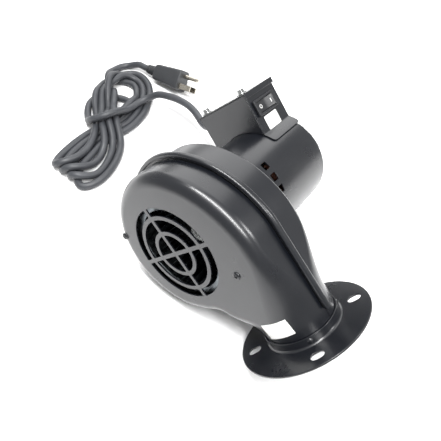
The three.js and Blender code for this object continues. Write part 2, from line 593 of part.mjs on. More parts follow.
const switchMouth = () => solid(new THREE.BoxGeometry(8, BEZEL[1] - 4 + 2 * GAP, BEZEL[2] - 3 + 2 * GAP)
  .translate(BOX_RIGHT, SWITCH_Y, SWITCH_Z));

/** Front sheet with an arched lower edge round the motor and a turned-in flange for the cover. */
function boxFront() {
  const y = BOX_FRONT;
  const low = lowestWall(BOX_RIGHT) + BOX_T + 3 * GAP;
  const sheet = solid(block([BOX_LEFT, y, low], [BOX_RIGHT, y + BOX_T, BOX_TOP]));
  const flange = solid(block([BOX_LEFT + BOX_T + GAP, y, BOX_TOP - BOX_T],
    [BOX_RIGHT - BOX_T - GAP, y + 9, BOX_TOP]));
  return piece('box_front', cut(sheet.add(flange), [motorClearance(MOTOR_R + GAP), ...coverScrewHoles()]),
    paint());
}

function coverScrewHoles() {
  return COVER_SCREW_X.map((x) => solid(new THREE.CylinderGeometry(2 + GAP, 2 + GAP, 12, 12)
    .rotateX(Math.PI / 2).translate(x, COVER_SCREW_Y, BOX_TOP)));
}

function boxCover() {
  const out = GAP + BOX_T;
  const lid = cut(solid(block([BOX_LEFT - out, BOX_FRONT - 0.1, BOX_TOP - LIP],
    [BOX_RIGHT + out, BOX_REAR + out, BOX_TOP + out])),
  [solid(block([BOX_LEFT - GAP, BOX_FRONT - 10, BOX_TOP - 20], [BOX_RIGHT + GAP, BOX_REAR + GAP,
    BOX_TOP + GAP]))]);
  return piece('box_cover', cut(lid, coverScrewHoles()), paint());
}

function coverScrew(k) {
  const washer = new THREE.CylinderGeometry(4.6, 4.6, 1, 12).rotateX(Math.PI / 2).translate(0, 0, 0.5);
  const head = new THREE.CylinderGeometry(3.3, 3.3, 3.4, 6).rotateX(Math.PI / 2).translate(0, 0, 2.5);
  const shank = new THREE.CylinderGeometry(2, 2, 8, 8).rotateX(Math.PI / 2).translate(0, 0, -3.5);
  const slot = new THREE.BoxGeometry(8, 0.9, 1.6).translate(0, 0, 4.2).rotateZ(0.5);
  const body = cut(join([solid(washer), solid(head), solid(shank)]), [solid(slot)]);
  return piece(`cover_screw_${k + 1}`, geometryOf(body)
    .translate(COVER_SCREW_X[k], COVER_SCREW_Y, BOX_TOP + BOX_T + 2 * GAP), steel());
}

// ---------------------------------------------------------------- rocker switch
const ROCKER_PIVOT_X = BOX_RIGHT + GAP - 1.5;

function switchBody() {
  const face = BOX_RIGHT + GAP;
  const bezel = solid(block([face, SWITCH_Y - BEZEL[1] / 2, SWITCH_Z - BEZEL[2] / 2],
    [face + BEZEL[0], SWITCH_Y + BEZEL[1] / 2, SWITCH_Z + BEZEL[2] / 2]));
  const body = solid(block([face - SWITCH_DEPTH, SWITCH_Y - BEZEL[1] / 2 + 2, SWITCH_Z - BEZEL[2] / 2 + 1.5],
    [face + 0.5, SWITCH_Y + BEZEL[1] / 2 - 2, SWITCH_Z + BEZEL[2] / 2 - 1.5]));
  const well = solid(block([face - 7, SWITCH_Y - ROCKER[0] / 2 - 0.6, SWITCH_Z - ROCKER[1] / 2 - GAP],
    [face + 5, SWITCH_Y + ROCKER[0] / 2 + 0.6, SWITCH_Z + ROCKER[1] / 2 + GAP]));
  const blades = [-6, 6].map((y) => solid(block([face - SWITCH_DEPTH - 1, SWITCH_Y + y - 0.4 - GAP,
    SWITCH_Z - 3.2 - GAP], [face - SWITCH_DEPTH + 4, SWITCH_Y + y + 0.4 + GAP, SWITCH_Z + 3.2 + GAP])));
  return piece('switch_body', cut(bezel.add(body), [well, ...blades]), nylon());
}

/** Rocker with two flats that meet in a shallow valley, tilted to its off position. */
function switchRocker() {
  const half = ROCKER[0] / 2;
  const profile = [[-half, 0.4], [-half, 3.4], [-half + 0.5, 4.0], [0, 2.4], [half - 0.5, 4.0],
    [half, 3.4], [half, 0.4], [half * 0.55, -2.6], [-half * 0.55, -2.6]];
  const body = new THREE.ExtrudeGeometry(outline(profile), { depth: ROCKER[1], bevelEnabled: false })
    .translate(0, 0, -ROCKER[1] / 2);
  // profile's x runs along the box, its y out of the box
  const basis = new THREE.Matrix4().makeBasis(new THREE.Vector3(0, 1, 0), new THREE.Vector3(1, 0, 0),
    new THREE.Vector3(0, 0, -1));
  body.applyMatrix4(basis).rotateZ(-degrees(ROCKER_TILT)).translate(ROCKER_PIVOT_X, SWITCH_Y, SWITCH_Z);
  return piece('switch_rocker', body, nylon());
}

const switchTerminal = (k) => {
  const y = SWITCH_Y + (k === 0 ? -6 : 6);
  const face = BOX_RIGHT + GAP - SWITCH_DEPTH;
  return piece(`switch_terminal_${k + 1}`, block([face - 6.5, y - 0.4, SWITCH_Z - 3.2],
    [face + 4 - GAP, y + 0.4, SWITCH_Z + 3.2]), brass());
};

// ---------------------------------------------------------------- labels
const boxLabel = () => piece('box_label', block([BOX_RIGHT + GAP, 101.2, 126.4],
  [BOX_RIGHT + GAP + 0.25, 119.8, 138.4]), paper());

/** Sticker that follows the neck's front. */
function neckLabel() {
  const window = new THREE.BoxGeometry(22, 40, 12.5).rotateY(degrees(-7)).translate(3.6, -24, 19.6);
  const skin = cut(halfHousing(-1, GAP + 0.25, 2, -3), [halfHousing(-1, GAP, 0, 4)]);
  return piece('neck_label', skin.intersect(solid(window)), paper());
}

// ---------------------------------------------------------------- strain relief
/** Bushing in the box's left side: a collar outside, a tapered sleeve that the cord passes. */
function strainRelief() {
  const inner = CORD_R + 1.5 * GAP;
  const profile = [[inner, -5], [6.4, -5], [7, 0], [7, BOX_T], [RELIEF_R, BOX_T + GAP],
    [RELIEF_R, 4], [7, 5], [inner + 1.2, RELIEF_LENGTH], [inner, RELIEF_LENGTH]];
  return piece('strain_relief', lathe(profile, 14).rotateY(-Math.PI / 2)
    .translate(BOX_LEFT + BOX_T, RELIEF_Y, RELIEF_Z), nylon());
}

// ---------------------------------------------------------------- assembly at rest
const blower = new THREE.Group();
blower.add(frontShell(), rearShell(), outletFlange());
for (let k = 0; k < RIVETS; k++) blower.add(flangeRivet(k));
FACE_SCREW.forEach((_, k) => blower.add(faceScrew(k)));
blower.add(bladeStrip(), wheelEndRing(), wheelBackDisc(), wheelHub(), hubSetScrew());
blower.add(motorShell(), motorEndPlate(), rearBearingSeat(), statorCore(), rotorCore(), motorShaft());
blower.add(bearing('bearing_front', MOTOR_FRONT + 1, MOTOR_FRONT + 12));
blower.add(bearing('bearing_rear', MOTOR_REAR - 12, MOTOR_REAR - 3));
blower.add(thrustWasher('thrust_washer_front', MOTOR_FRONT + 12 + GAP));
blower.add(thrustWasher('thrust_washer_rear', MOTOR_REAR - 12 - 1 - GAP));
blower.add(winding('winding_front', STATOR_FRONT - 11, STATOR_FRONT - GAP));
blower.add(winding('winding_rear', STATOR_REAR + GAP, STATOR_REAR + 11));
boltAngles().forEach((_, k) => blower.add(throughBolt(k), boltNut(k)));
mountAngles().forEach((_, k) => blower.add(mountScrew(k)));
blower.add(boxFrame(), boxFront(), boxCover(), coverScrew(0), coverScrew(1));
blower.add(switchBody(), switchRocker(), switchTerminal(0), switchTerminal(1));
blower.add(boxLabel(), neckLabel(), strainRelief());

/**
 * Downward direction, in the blower's frame, when it lies on the table: the plane through the
 * lowest points of the seam, the flange's rim and the motor's rear edge.
 */
function restingDown() {
  const down = new THREE.Vector3(-0.71, 0.16, -0.68);
  const circle = (centre, axis, r, ball) => {
    const across = down.clone().addScaledVector(axis, -down.dot(axis)).normalize();
    return centre.clone().addScaledVector(across, r).addScaledVector(down, ball);
  };
  for (let i = 0; i < 30; i++) {
    const seam = STATIONS.map(({ p, n }) =>
      new THREE.Vector3(p.x + n.x * SEAM_OUT, 0, p.y + n.y * SEAM_OUT));
    const a = seam.reduce((best, q) => (q.dot(down) > best.dot(down) ? q : best));
    const b = circle(new THREE.Vector3(0, 0, 0), new THREE.Vector3(0, 0, 1), FLANGE_R, 0);
    const c = circle(new THREE.Vector3(WHEEL_X, MOTOR_REAR - MOTOR_EDGE_R, WHEEL_Z),
      new THREE.Vector3(0, 1, 0), MOTOR_R - MOTOR_EDGE_R, MOTOR_EDGE_R);
    const next = b.clone().sub(a).cross(c.clone().sub(a)).normalize();
    down.copy(next.dot(down) < 0 ? next.negate() : next);
  }
  return down;
}

const up = restingDown().negate();
const along = new THREE.Vector3(0, 1, 0).addScaledVector(up, -up.y).normalize();
const across = along.clone().cross(up);
const lay = new THREE.Matrix4().makeBasis(across, along, up).transpose();
blower.quaternion.setFromRotationMatrix(lay);
blower.updateMatrixWorld(true);
const reach = new THREE.Box3().setFromObject(blower, true);
const middle = reach.getCenter(new THREE.Vector3());
blower.position.set(-middle.x, -middle.y, -reach.min.z);

// ---------------------------------------------------------------- cord and plug on the table
/** Hank's outer shape, grown all round and above. */
function hankSolid(grow) {
  const path = new THREE.CatmullRomCurve3(HANK.map(([x, y]) => new THREE.Vector3(x, y, 0)), true);
  const points = path.getSpacedPoints(40).slice(0, -1);
  const edge = points.map((p, i) => {
    const t = path.getTangentAt(i / 40);
    return [p.x - t.y * grow, p.y + t.x * grow];
  });
  return solid(new THREE.ExtrudeGeometry(outline(edge), { depth: HANK_TOP - GAP + 2 * grow,
    bevelEnabled: false }).translate(0, 0, GAP - grow));
}

/** Where a point of the blower's frame lies on the table. */
const onTable = (x, y, z) => new THREE.Vector3(x, y, z).applyQuaternion(blower.quaternion)
  .add(blower.position).toArray();

/** Free length from the strain relief to the hank. */
function cordLead() {
  const straight = [BOX_T + 5 - GAP, -6, -14, BOX_T - RELIEF_LENGTH, -RELIEF_LENGTH - 2].map((reach) =>
    onTable(BOX_LEFT + reach, RELIEF_Y, RELIEF_Z));
  const tube = bar([...straight, ...LEAD], CORD_R, 10, 24);
  return piece('cord_lead', cut(solid(tube), [hankSolid(GAP)]), rubber());
}

/** Free length from the hank to the plug. */
function cordTail() {
  const end = new THREE.Vector3(...PLUG_AT).addScaledVector(plugAxis, -GAP).toArray();
  const near = new THREE.Vector3(...PLUG_AT).addScaledVector(plugAxis, -5).toArray();
  const tube = bar([...TAIL, near, end], CORD_R, 10, 6);
  return piece('cord_tail', cut(solid(tube), [hankSolid(GAP)]), rubber());
}

const plugAxis = new THREE.Vector3(...PLUG_AXIS).normalize();

/** Plug in its own frame: z towards the pins, y towards the ground pin. */
function plugSection(z, low, high, wide, narrow) {
  return [[-wide, low + 3], [-wide + 3, low], [wide - 3, low], [wide, low + 3], [wide, low + 9],
    [narrow, high - 3], [narrow - 2.5, high], [-narrow + 2.5, high], [-narrow, high - 3],
    [-wide, low + 9]].map(([x, y]) => new THREE.Vector3(x, y, z));
}

function plugBody() {
  const start = SLEEVE_LENGTH;
  const end = start + PLUG_LENGTH;
  const shell = loft([plugSection(start, -8.5, 8.5, 8, 6.5), plugSection(start + 2, -9.2, 9.4, 8.6, 7.2),
    plugSection(end - 8, -11, 11.6, 10.6, 8.8), plugSection(end - 2, -11.2, 12, 10.8, 9),
    plugSection(end, -10.4, 11.2, 10, 8.2)]);
  const sleeve = solid(lathe([[0, 0], [5.2, 0], [5.6, 1.2], [6.6, start + 1], [0, start + 1]], 16));
  const pockets = [...[-1, 1].map((s) => bladeAt(s, GAP)), groundPin(GAP)];
  return piece('plug_body', cut(shell.add(sleeve), pockets), rubber());
}

function bladeAt(side, grow) {
  const face = SLEEVE_LENGTH + PLUG_LENGTH;
  const [thick, wide, long] = BLADE;
  const x = side * BLADE_PITCH / 2;
  return solid(block([x - thick / 2 - grow, -PIN_PITCH / 2 - wide / 2 - grow, face - PIN_DEPTH - grow],
    [x + thick / 2 + grow, -PIN_PITCH / 2 + wide / 2 + grow, face + long]));
}

function groundPin(grow) {
  const face = SLEEVE_LENGTH + PLUG_LENGTH;
  const top = face + GROUND_PIN_LENGTH;
  return solid(lathe([[0, face - PIN_DEPTH - grow], [GROUND_PIN_R + grow, face - PIN_DEPTH - grow],
    [GROUND_PIN_R + grow, top - 2], [1.2, top], [0, top]], 14).translate(0, PIN_PITCH / 2, 0));
}

const plug = new THREE.Group();
plug.add(plugBody(), piece('plug_blade_hot', bladeAt(-1, 0), brass()),
  piece('plug_blade_neutral', bladeAt(1, 0), brass()), piece('plug_ground_pin', groundPin(0), brass()));
const level = new THREE.Vector3(0, 0, 1).cross(plugAxis).normalize();
const rise = plugAxis.clone().cross(level);
const pinSide = level.clone().multiplyScalar(Math.cos(degrees(PLUG_ROLL)))
  .addScaledVector(rise, Math.sin(degrees(PLUG_ROLL)));
plug.quaternion.setFromRotationMatrix(new THREE.Matrix4().makeBasis(pinSide.clone().cross(plugAxis),
  pinSide, plugAxis));
plug.position.set(...PLUG_AT);

const fan = new THREE.Group();
fan.add(blower, plug, cordLead(), cordTail(), piece('cord_hank', hankSolid(0), rubber()));

export default fan;
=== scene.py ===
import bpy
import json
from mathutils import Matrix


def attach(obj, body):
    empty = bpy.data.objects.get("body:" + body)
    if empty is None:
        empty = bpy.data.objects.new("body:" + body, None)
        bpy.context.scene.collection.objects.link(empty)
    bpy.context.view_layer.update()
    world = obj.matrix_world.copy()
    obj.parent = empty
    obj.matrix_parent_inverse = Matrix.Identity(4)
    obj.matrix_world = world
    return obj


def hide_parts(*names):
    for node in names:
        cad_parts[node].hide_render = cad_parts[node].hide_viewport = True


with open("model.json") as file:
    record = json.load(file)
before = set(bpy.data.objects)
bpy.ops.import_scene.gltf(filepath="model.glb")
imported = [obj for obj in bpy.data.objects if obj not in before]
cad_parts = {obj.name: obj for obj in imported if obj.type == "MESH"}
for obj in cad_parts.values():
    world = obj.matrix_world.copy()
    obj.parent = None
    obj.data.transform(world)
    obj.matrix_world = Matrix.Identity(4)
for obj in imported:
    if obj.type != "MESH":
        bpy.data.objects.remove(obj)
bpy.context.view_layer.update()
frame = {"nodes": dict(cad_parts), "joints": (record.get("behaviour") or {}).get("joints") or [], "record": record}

import json
import math

import bmesh
import bpy
import numpy as np
from mathutils import Matrix, Vector

bl_info = {
    "name": "Combustion fan",
    "version": (1, 0, 0),
    "blender": (4, 5, 0),
    "location": "3D View > Sidebar > Fan",
    "description": "Builds a small centrifugal blower with its motor, switch box and cord",
    "category": "Add Mesh",
}

MM = 0.001

# ---------------------------------------------------------------- the blower's own frame
# x to the right seen from the inlet, y along the shaft to the motor's rear, z up the outlet's
# axis from the flange's underside; lengths in mm
SHEET = 1.2
GAP = 0.3
NECK_R = 27.8
HALF_DEPTH = NECK_R
NECK_FLAT = 0.4
NECK_END = 1.0
WHEEL_X = -52.0
WHEEL_Z = 92.0
EDGE_R = 9.5
REAR_EDGE_R = 4.0
SEAM_OUT = 5.0
SEAM_R = 1.9
SEAM_END_Z = 16.0
SCROLL = [(-94, 56.7), (-120, 57.9), (-145, 59.2), (-171, 60.4), (163, 60.7), (139, 61.0),
          (115, 61.8), (90, 63.4), (68, 64.6), (47, 66.2), (30, 68.6), (14, 71.6), (0, 75.0)]
TONGUE = [(-40.2, 28.6), (-43.4, 32.6), (-48.6, 34.6)]
NECK_RIGHT = [(24.3, 76), (25.6, 56), (26.8, 36), (NECK_R, 16)]
STATIONS = 132

INLET_R = 39.5
RING_1_R = 31.2
RING_2_R = 18.0
RIB_W = 3.3
SPOKE_TURN = 4.0
FACE_SCREWS = [(-48.7, 24.2), (50.1, -24.6)]

FLANGE_R = 52.0
FLANGE_T = 1.5
FLANGE_FACE = 41.3               # from the outlet's axis to the middle of a slot
COLLAR_IN = NECK_R + GAP
COLLAR_OUT = COLLAR_IN + SHEET
COLLAR_TOP = 8.5

WHEEL_R = 43.0
WHEEL_IN = 36.0
WHEEL_FRONT = -23.0
WHEEL_BACK = 18.0
RIM_T = 1.0
SHAFT_R = 3.97

MOTOR_R = 42.5
MOTOR_FRONT = HALF_DEPTH + GAP
MOTOR_REAR = 133.7
MOTOR_EDGE_R = 5.5
VENT_Y = 60.9
VENT_TURN = 8.1
VENT_GAP = (30, 105)              # degrees, plain shell beside the electrical box
BOLT_CIRCLE = 33.0
BOLT_ANGLES = (30, 150, 270)

BOX_LEFT = -82.5
BOX_RIGHT = -24.8
BOX_FRONT = 91.2
BOX_REAR = 132.7
BOX_TOP = 162.3
BOX_T = 1.0
LIP = 3.6
FOOT_ANGLE = 15.5
COVER_SCREWS = [(-75.6, 96.0), (-29.2, 96.0)]

SWITCH_Y = 111.1
SWITCH_Z = 147.2
BEZEL_T = 2.0
BEZEL_LONG = 30.0
BEZEL_WIDE = 14.0
ROCKER_LONG = 22.0
ROCKER_WIDE = 9.6
ROCKER_TILT = 10.0

RELIEF_Y = 122.0
RELIEF_Z = 149.5
RELIEF_LENGTH = 24.0

# ---------------------------------------------------------------- the cord on the table, mm
CORD_LEAD = [(-113, 77.5, 37.6), (-122, 81.5, 33.5), (-134.5, 89.5, 32), (-148, 95, 32.5),
             (-165, 98.6, 30.5), (-183, 101, 26), (-199, 101, 21), (-211, 97, 19)]
CORD_TURNS = [
    (-217, 88, 18), (-220, 74, 20), (-218, 53, 26), (-217, 38, 28), (-222, 29, 26), (-234, 28, 18),
    (-249, 34, 12), (-262, 45, 8), (-270, 58, 5), (-268, 72, 4), (-258, 82, 4), (-242, 85, 4),
    (-227, 84, 4), (-219, 74, 4), (-217, 57, 4), (-220, 44, 4), (-226, 30, 4), (-231, 18, 4),
    (-231, 4, 4), (-231, -10, 4), (-231, -23, 5), (-227, -34, 6), (-221, -40, 8), (-214, -37, 11),
    (-211, -26, 13), (-210, -11, 14), (-212, 2, 16), (-218, 15, 18), (-227, 27, 20), (-241, 42, 20),
    (-256, 56, 18), (-271, 72, 14), (-278, 89, 10), (-273, 102, 8), (-261, 111, 6), (-247, 111, 5),
    (-237, 103, 5), (-227, 87, 8), (-222, 70, 8), (-221, 55, 8), (-223, 40, 8), (-225, 23, 8),
    (-226, 8, 6), (-224, -10, 5), (-221, -25, 4), (-216, -37, 4), (-207, -41, 6), (-199, -36, 9),
    (-196, -25, 12), (-195, -13, 14), (-196, -1, 16), (-202, 11, 18), (-211, 22, 20), (-222, 32, 22),
    (-236, 44, 22), (-251, 58, 20), (-264, 76, 17), (-271, 95, 14), (-267, 110, 11), (-258, 119, 9),
    (-245, 117, 8), (-234, 107, 7), (-222, 91, 8), (-216, 72, 10), (-212, 54, 12), (-214, 37, 12),
    (-217, 20, 9), (-217, 3, 7), (-214, -14, 5), (-208, -28, 4), (-201, -38, 5), (-192, -39, 7),
    (-184, -31, 10), (-181, -19, 12), (-183, -7, 14), (-188, 6, 16), (-195, 17, 18), (-205, 27, 20),
    (-216, 36, 22), (-232, 48, 22), (-248, 61, 20), (-262, 79, 17), (-274, 99, 13), (-276, 115, 10),
    (-268, 127, 8), (-254, 129, 7), (-240, 121, 6), (-227, 109, 5), (-215, 96, 5), (-208, 79, 6),
    (-206, 63, 8), (-206, 47, 10), (-207, 30, 10), (-209, 14, 8), (-207, -4, 6), (-202, -21, 5),
    (-198, -34, 4), (-191, -42, 4), (-182, -42, 4), (-175, -34, 4), (-173, -21, 4), (-175, -6, 5),
    (-180, 8, 7), (-186, 19, 10), (-193, 28, 14), (-202, 35, 19), (-213, 43, 23), (-229, 56, 23),
    (-246, 69, 20), (-264, 83, 16), (-280, 97, 13), (-290, 112, 11), (-290, 126, 10), (-282, 136, 10),
    (-271, 140, 9.5), (-262, 139.6, 8.8)]
CORD_STEP = 4.5                  # between two points of the settled cord
SPAN_POINTS = 8                  # points worked out from one chosen point to the next
SMOOTHING = 60                   # passes over the laid line, before it settles
SETTLE_ROUNDS = 400
TIGHTEST_BEND = 13.0             # sharper bends are eased towards this radius; some stay sharper
NEIGHBOURS = 6.0                 # radii along the cord within which it can't push itself
TOUCHING = 2.05                  # radii from centreline to centreline
LET_GO = 12                      # points over which the held lead comes free
PLUG_HELD = 5                    # last points, held by the plug
PUSH_SHARE = 1.6
EASE_SHARE = 0.35
HOLD_SHARE = (0.015, 0.015, 0.002)
WEIGHT_STEP = 0.06               # how far the cord sinks in each round
IN_SLEEVE = 3                    # cord inside the plug's sleeve
PLUG_AT = (-253.5, 139.8, 9.5)
PLUG_AXIS = (0.995, 0.045, 0.094)
PLUG_ROLL = 49.0                 # degrees from level to the ground pin's side
SLEEVE_LENGTH = 14.0
PLUG_LENGTH = 40.0

# ---------------------------------------------------------------- camera, row frame
CAMERA_AT = (0.09881, -0.19676, 0.35198)
CAMERA_FORWARD = (-0.3370, 0.4839, -0.8076)
CAMERA_UP = (-0.49503, 0.63857, 0.58922)
CAMERA_LENS = 36.83


def record_frame():
    """The blower's frame on the table, from the record's shaft and outlet flange, in metres."""
    shaft = next(j for j in frame["joints"] if j["name"] == "shaft_spin")
    flange = next(m for m in frame["record"]["mounts"] if m["name"] == "flange_face")
    along = Vector(shaft["axis"]).normalized()
    up = -Vector(flange["axis"]).normalized()
    right = along.cross(up).normalized()
    up = right.cross(along)
    origin = Vector(flange["pos_m"]) - right * FLANGE_FACE * MM
    turn = Matrix((right, along, up)).transposed().to_4x4()
    return Matrix.Translation(origin) @ turn @ Matrix.Scale(MM, 4)


FAN = record_frame()
TABLE = Matrix.Scale(MM, 4)


def plug_frame():
    """The plug's frame: z towards its pins, y towards the ground pin."""
    axis = Vector(PLUG_AXIS).normalized()
    level = Vector((0, 0, 1)).cross(axis).normalized()
    rise = axis.cross(level)
    roll = math.radians(PLUG_ROLL)
    side = level * math.cos(roll) + rise * math.sin(roll)
    turn = Matrix((side.cross(axis), side, axis)).transposed().to_4x4()
    return TABLE @ Matrix.Translation(PLUG_AT) @ turn


# ---------------------------------------------------------------- sizes and colours a user changes
def linear(code):
    """Linear colour of an sRGB hex value."""
    parts = [int(code[i:i + 2], 16) / 255 for i in (1, 3, 5)]
    return tuple(c / 12.92 if c <= 0.04045 else ((c + 0.055) / 1.055) ** 2.4 for c in parts) + (1.0,)


def length_property(name, about, size):
    return bpy.props.FloatProperty(name=name, description=about, default=size * MM, min=0.0001,
                                   unit="LENGTH")


def colour_property(name, about, code):
    return bpy.props.FloatVectorProperty(name=name, description=about, size=4, min=0, max=1,
                                         subtype="COLOR", default=linear(code))


class FanSizes(bpy.types.PropertyGroup):
    """Sizes of the fan's repeated and visible pieces."""
    blades: bpy.props.IntProperty(name="Blades", description="Blades on the wheel", default=30, min=8)
    blade_thickness: length_property("Blade thickness", "Sheet of the wheel's blades", 0.7)
    vents: bpy.props.IntProperty(name="Vents", description="Square vents round the motor", default=24,
                                 min=6)
    vent_size: length_property("Vent size", "Side of a square vent", 6.4)
    rivets: bpy.props.IntProperty(name="Rivets", description="Rivets round the collar", default=4, min=2)
    slot_length: length_property("Slot length", "Length of a flange slot", 10.2)
    slot_width: length_property("Slot width", "Width of a flange slot", 7.2)
    cord_diameter: length_property("Cord diameter", "Outside of the cord's jacket", 7.8)


class FanColours(bpy.types.PropertyGroup):
    """Colours of the fan's finishes."""
    enamel: colour_property("Enamel", "Black baked enamel", "#101217")
    enamel_dust: colour_property("Dust", "Fine dust on the enamel", "#6d6c6a")
    # painted shade: this zinc is darkened well below bright galvanised steel to stand in for the shade inside the
    # housing
    zinc: colour_property("Zinc", "Galvanised sheet of the wheel", "#62676a")
    screw: colour_property("Screw zinc", "Clear zinc plating on screws", "#c6c7c5")
    jacket: colour_property("Cord jacket", "Flexible PVC of the cord", "#34363a")
    plug: colour_property("Plug", "Moulded PVC of the plug", "#27282a")
    pin: colour_property("Plug pins", "Nickel-plated brass", "#cfcac0")
    nylon: colour_property("Nylon", "Moulded switch and bushing", "#17181a")
    label: colour_property("Label", "Coated paper", "#eeeeec")
    copper: colour_property("Copper", "Enamelled winding wire", "#a4552c")
    steel: colour_property("Core steel", "Silicon steel laminations", "#5c5f63")
    bronze: colour_property("Bronze", "Oil-soaked sintered bronze", "#9a7440")


# ---------------------------------------------------------------- materials
def add(tree, kind, settings=(), **inputs):
    """Adds a node: its settings, then each input by name (spaces as _) or number (i0, i1), as a
    value or as a socket to link from."""
    node = tree.nodes.new(kind)
    for key, value in dict(settings).items():
        setattr(node, key, value)
    for key, value in inputs.items():
        socket = node.inputs[int(key[1:])] if key[1:].isdigit() else node.inputs[key.replace("_", " ")]
        if isinstance(value, bpy.types.NodeSocket):
            tree.links.new(value, socket)
        else:
            socket.default_value = value
    return node


def new_material(name):
    material = bpy.data.materials.new(name)
    material.use_nodes = True
    material.node_tree.nodes.clear()
    return material, material.node_tree


def per_mm(size):
    """Texture scale whose features repeat about every `size` mm."""
    return 1 / (size * MM)


def object_space(tree):
    return add(tree, "ShaderNodeTexCoord").outputs["Object"]


def surface(tree, **inputs):
    shader = add(tree, "ShaderNodeBsdfPrincipled", **inputs)
    add(tree, "ShaderNodeOutputMaterial", Surface=shader.outputs[0])


def noise(tree, size, detail=2.0, rough=0.5):
    """Noise over the object, with features of about `size` mm."""
    return add(tree, "ShaderNodeTexNoise", Vector=object_space(tree), Scale=per_mm(size),
               Detail=detail, Roughness=rough).outputs["Fac"]


def remap(tree, value, low, high, to_low, to_high):
    return add(tree, "ShaderNodeMapRange", {"clamp": True}, Value=value, From_Min=low, From_Max=high,
               To_Min=to_low, To_Max=to_high).outputs[0]


def bump(tree, height, depth, strength=1.0):
    """Relief of `depth` mm."""
    return add(tree, "ShaderNodeBump", Height=height, Distance=depth * MM,
               Strength=strength).outputs["Normal"]


def blend(tree, share, first, second):
    return add(tree, "ShaderNodeMix", {"data_type": "RGBA"}, i0=share, i6=first,
               i7=second).outputs[2]


def black_enamel(colours):
    """Black baked enamel on steel sheet, sprayed: a deep satin gloss that mirrors broad lights
    softly, with the faint waviness of sprayed paint and a thin haze of dust and handling."""
    material, tree = new_material("black baked enamel")
    haze = remap(tree, noise(tree, 28, 4, 0.6), 0.35, 0.75, 0.0, 1.0)
    specks = remap(tree, noise(tree, 1.1, 2, 0.7), 0.68, 0.78, 0.0, 0.2)
    dust = add(tree, "ShaderNodeMath", {"operation": "MULTIPLY", "use_clamp": True}, i0=haze,
               i1=specks).outputs[0]
    colour = blend(tree, dust, tuple(colours.enamel), tuple(colours.enamel_dust))
    rough = remap(tree, haze, 0.0, 1.0, 0.27, 0.36)
    # orange peel of sprayed enamel is about 1.5 mm from crest to crest and a few microns deep
    waves = bump(tree, noise(tree, 1.6, 1), 0.006, 0.5)
    surface(tree, Base_Color=colour, Roughness=rough, Normal=waves, IOR=1.5, Coat_Weight=0.4,
            Coat_Roughness=0.22, Coat_IOR=1.5)
    return material


def galvanised_sheet_in_painted_shade(colours):
    """Galvanised steel sheet, rolled: cold grey metal with faint spangle that breaks up its reflections. Its greys
    are painted shade: darkened well below bright zinc to stand in for the shade inside the housing, where the
    wheel sits."""
    material, tree = new_material("galvanised steel sheet")
    cells = add(tree, "ShaderNodeTexVoronoi", {"feature": "F1"}, Vector=object_space(tree),
                Scale=per_mm(3.5))
    shade = remap(tree, cells.outputs["Distance"], 0.0, 1.0, 0.0, 0.5)
    # painted shade: both greys are kept dark for the shade inside the housing; the cells between them are the real
    # spangle
    colour = blend(tree, shade, tuple(colours.zinc), linear("#6f7477"))
    rough = remap(tree, noise(tree, 3), 0.3, 0.7, 0.24, 0.42)
    surface(tree, Base_Color=colour, Metallic=1.0, Roughness=rough,
            Normal=bump(tree, noise(tree, 0.9), 0.01, 0.4))
    return material


def zinc_plating(colours):
    """Clear zinc plating on turned and cold-headed steel: bright, slightly blue, with fine
    turning marks."""
    material, tree = new_material("bright zinc plating")
    marks = noise(tree, 0.5, 3)
    colour = blend(tree, noise(tree, 2.2), tuple(colours.screw), linear("#9da0a0"))
    surface(tree, Base_Color=colour, Metallic=1.0, Roughness=remap(tree, marks, 0.3, 0.7, 0.16, 0.34),
            Normal=bump(tree, marks, 0.008, 0.5))
    return material


def core_laminations(colours):
    """Stack of 0.5 mm silicon steel laminations: dull grey-blue metal with fine lines across the
    shaft, drawn 1 mm apart so that they show."""
    material, tree = new_material("silicon steel laminations")
    lines = add(tree, "ShaderNodeTexWave", {"bands_direction": "Y"}, Vector=object_space(tree),
                Scale=per_mm(6.3), Distortion=0.4).outputs["Fac"]
    colour = blend(tree, lines, tuple(colours.steel), linear("#3b3d40"))
    surface(tree, Base_Color=colour, Metallic=0.9, Roughness=0.5, Normal=bump(tree, lines, 0.05, 0.6))
    return material


def winding_copper(colours):
    """Varnished copper wire, wound and laced: warm glossy strands about 0.5 mm thick."""
    material, tree = new_material("varnished copper winding")
    strands = add(tree, "ShaderNodeTexWave", {"bands_direction": "DIAGONAL"},
                  Vector=object_space(tree), Scale=per_mm(4.0), Distortion=3.0).outputs["Fac"]
    colour = blend(tree, strands, linear("#5e2d14"), tuple(colours.copper))
    surface(tree, Base_Color=colour, Metallic=0.7, Roughness=0.35, Coat_Weight=0.4,
            Normal=bump(tree, strands, 0.2, 0.8))
    return material


def sintered_bronze(colours):
    """Sintered bronze bushing: matt brown metal with open pores that hold oil."""
    material, tree = new_material("sintered bronze")
    pores = noise(tree, 0.4, 3, 0.7)
    colour = blend(tree, pores, linear("#6b4e28"), tuple(colours.bronze))
    surface(tree, Base_Color=colour, Metallic=0.9, Roughness=0.5, Normal=bump(tree, pores, 0.03, 0.7))
    return material


def plated_pins(colours):
    """Nickel-plated brass of the plug's pins: warm bright metal with fine lengthwise drawing
    marks and light scuffs from use."""
    material, tree = new_material("nickel plated brass")
    scuffs = noise(tree, 1.4, 4, 0.65)
    colour = blend(tree, remap(tree, scuffs, 0.45, 0.7, 0, 1), tuple(colours.pin), linear("#a39a84"))
    surface(tree, Base_Color=colour, Metallic=1.0, Roughness=remap(tree, scuffs, 0.3, 0.7, 0.12, 0.3),
            Normal=bump(tree, noise(tree, 0.5), 0.004, 0.4))
    return material


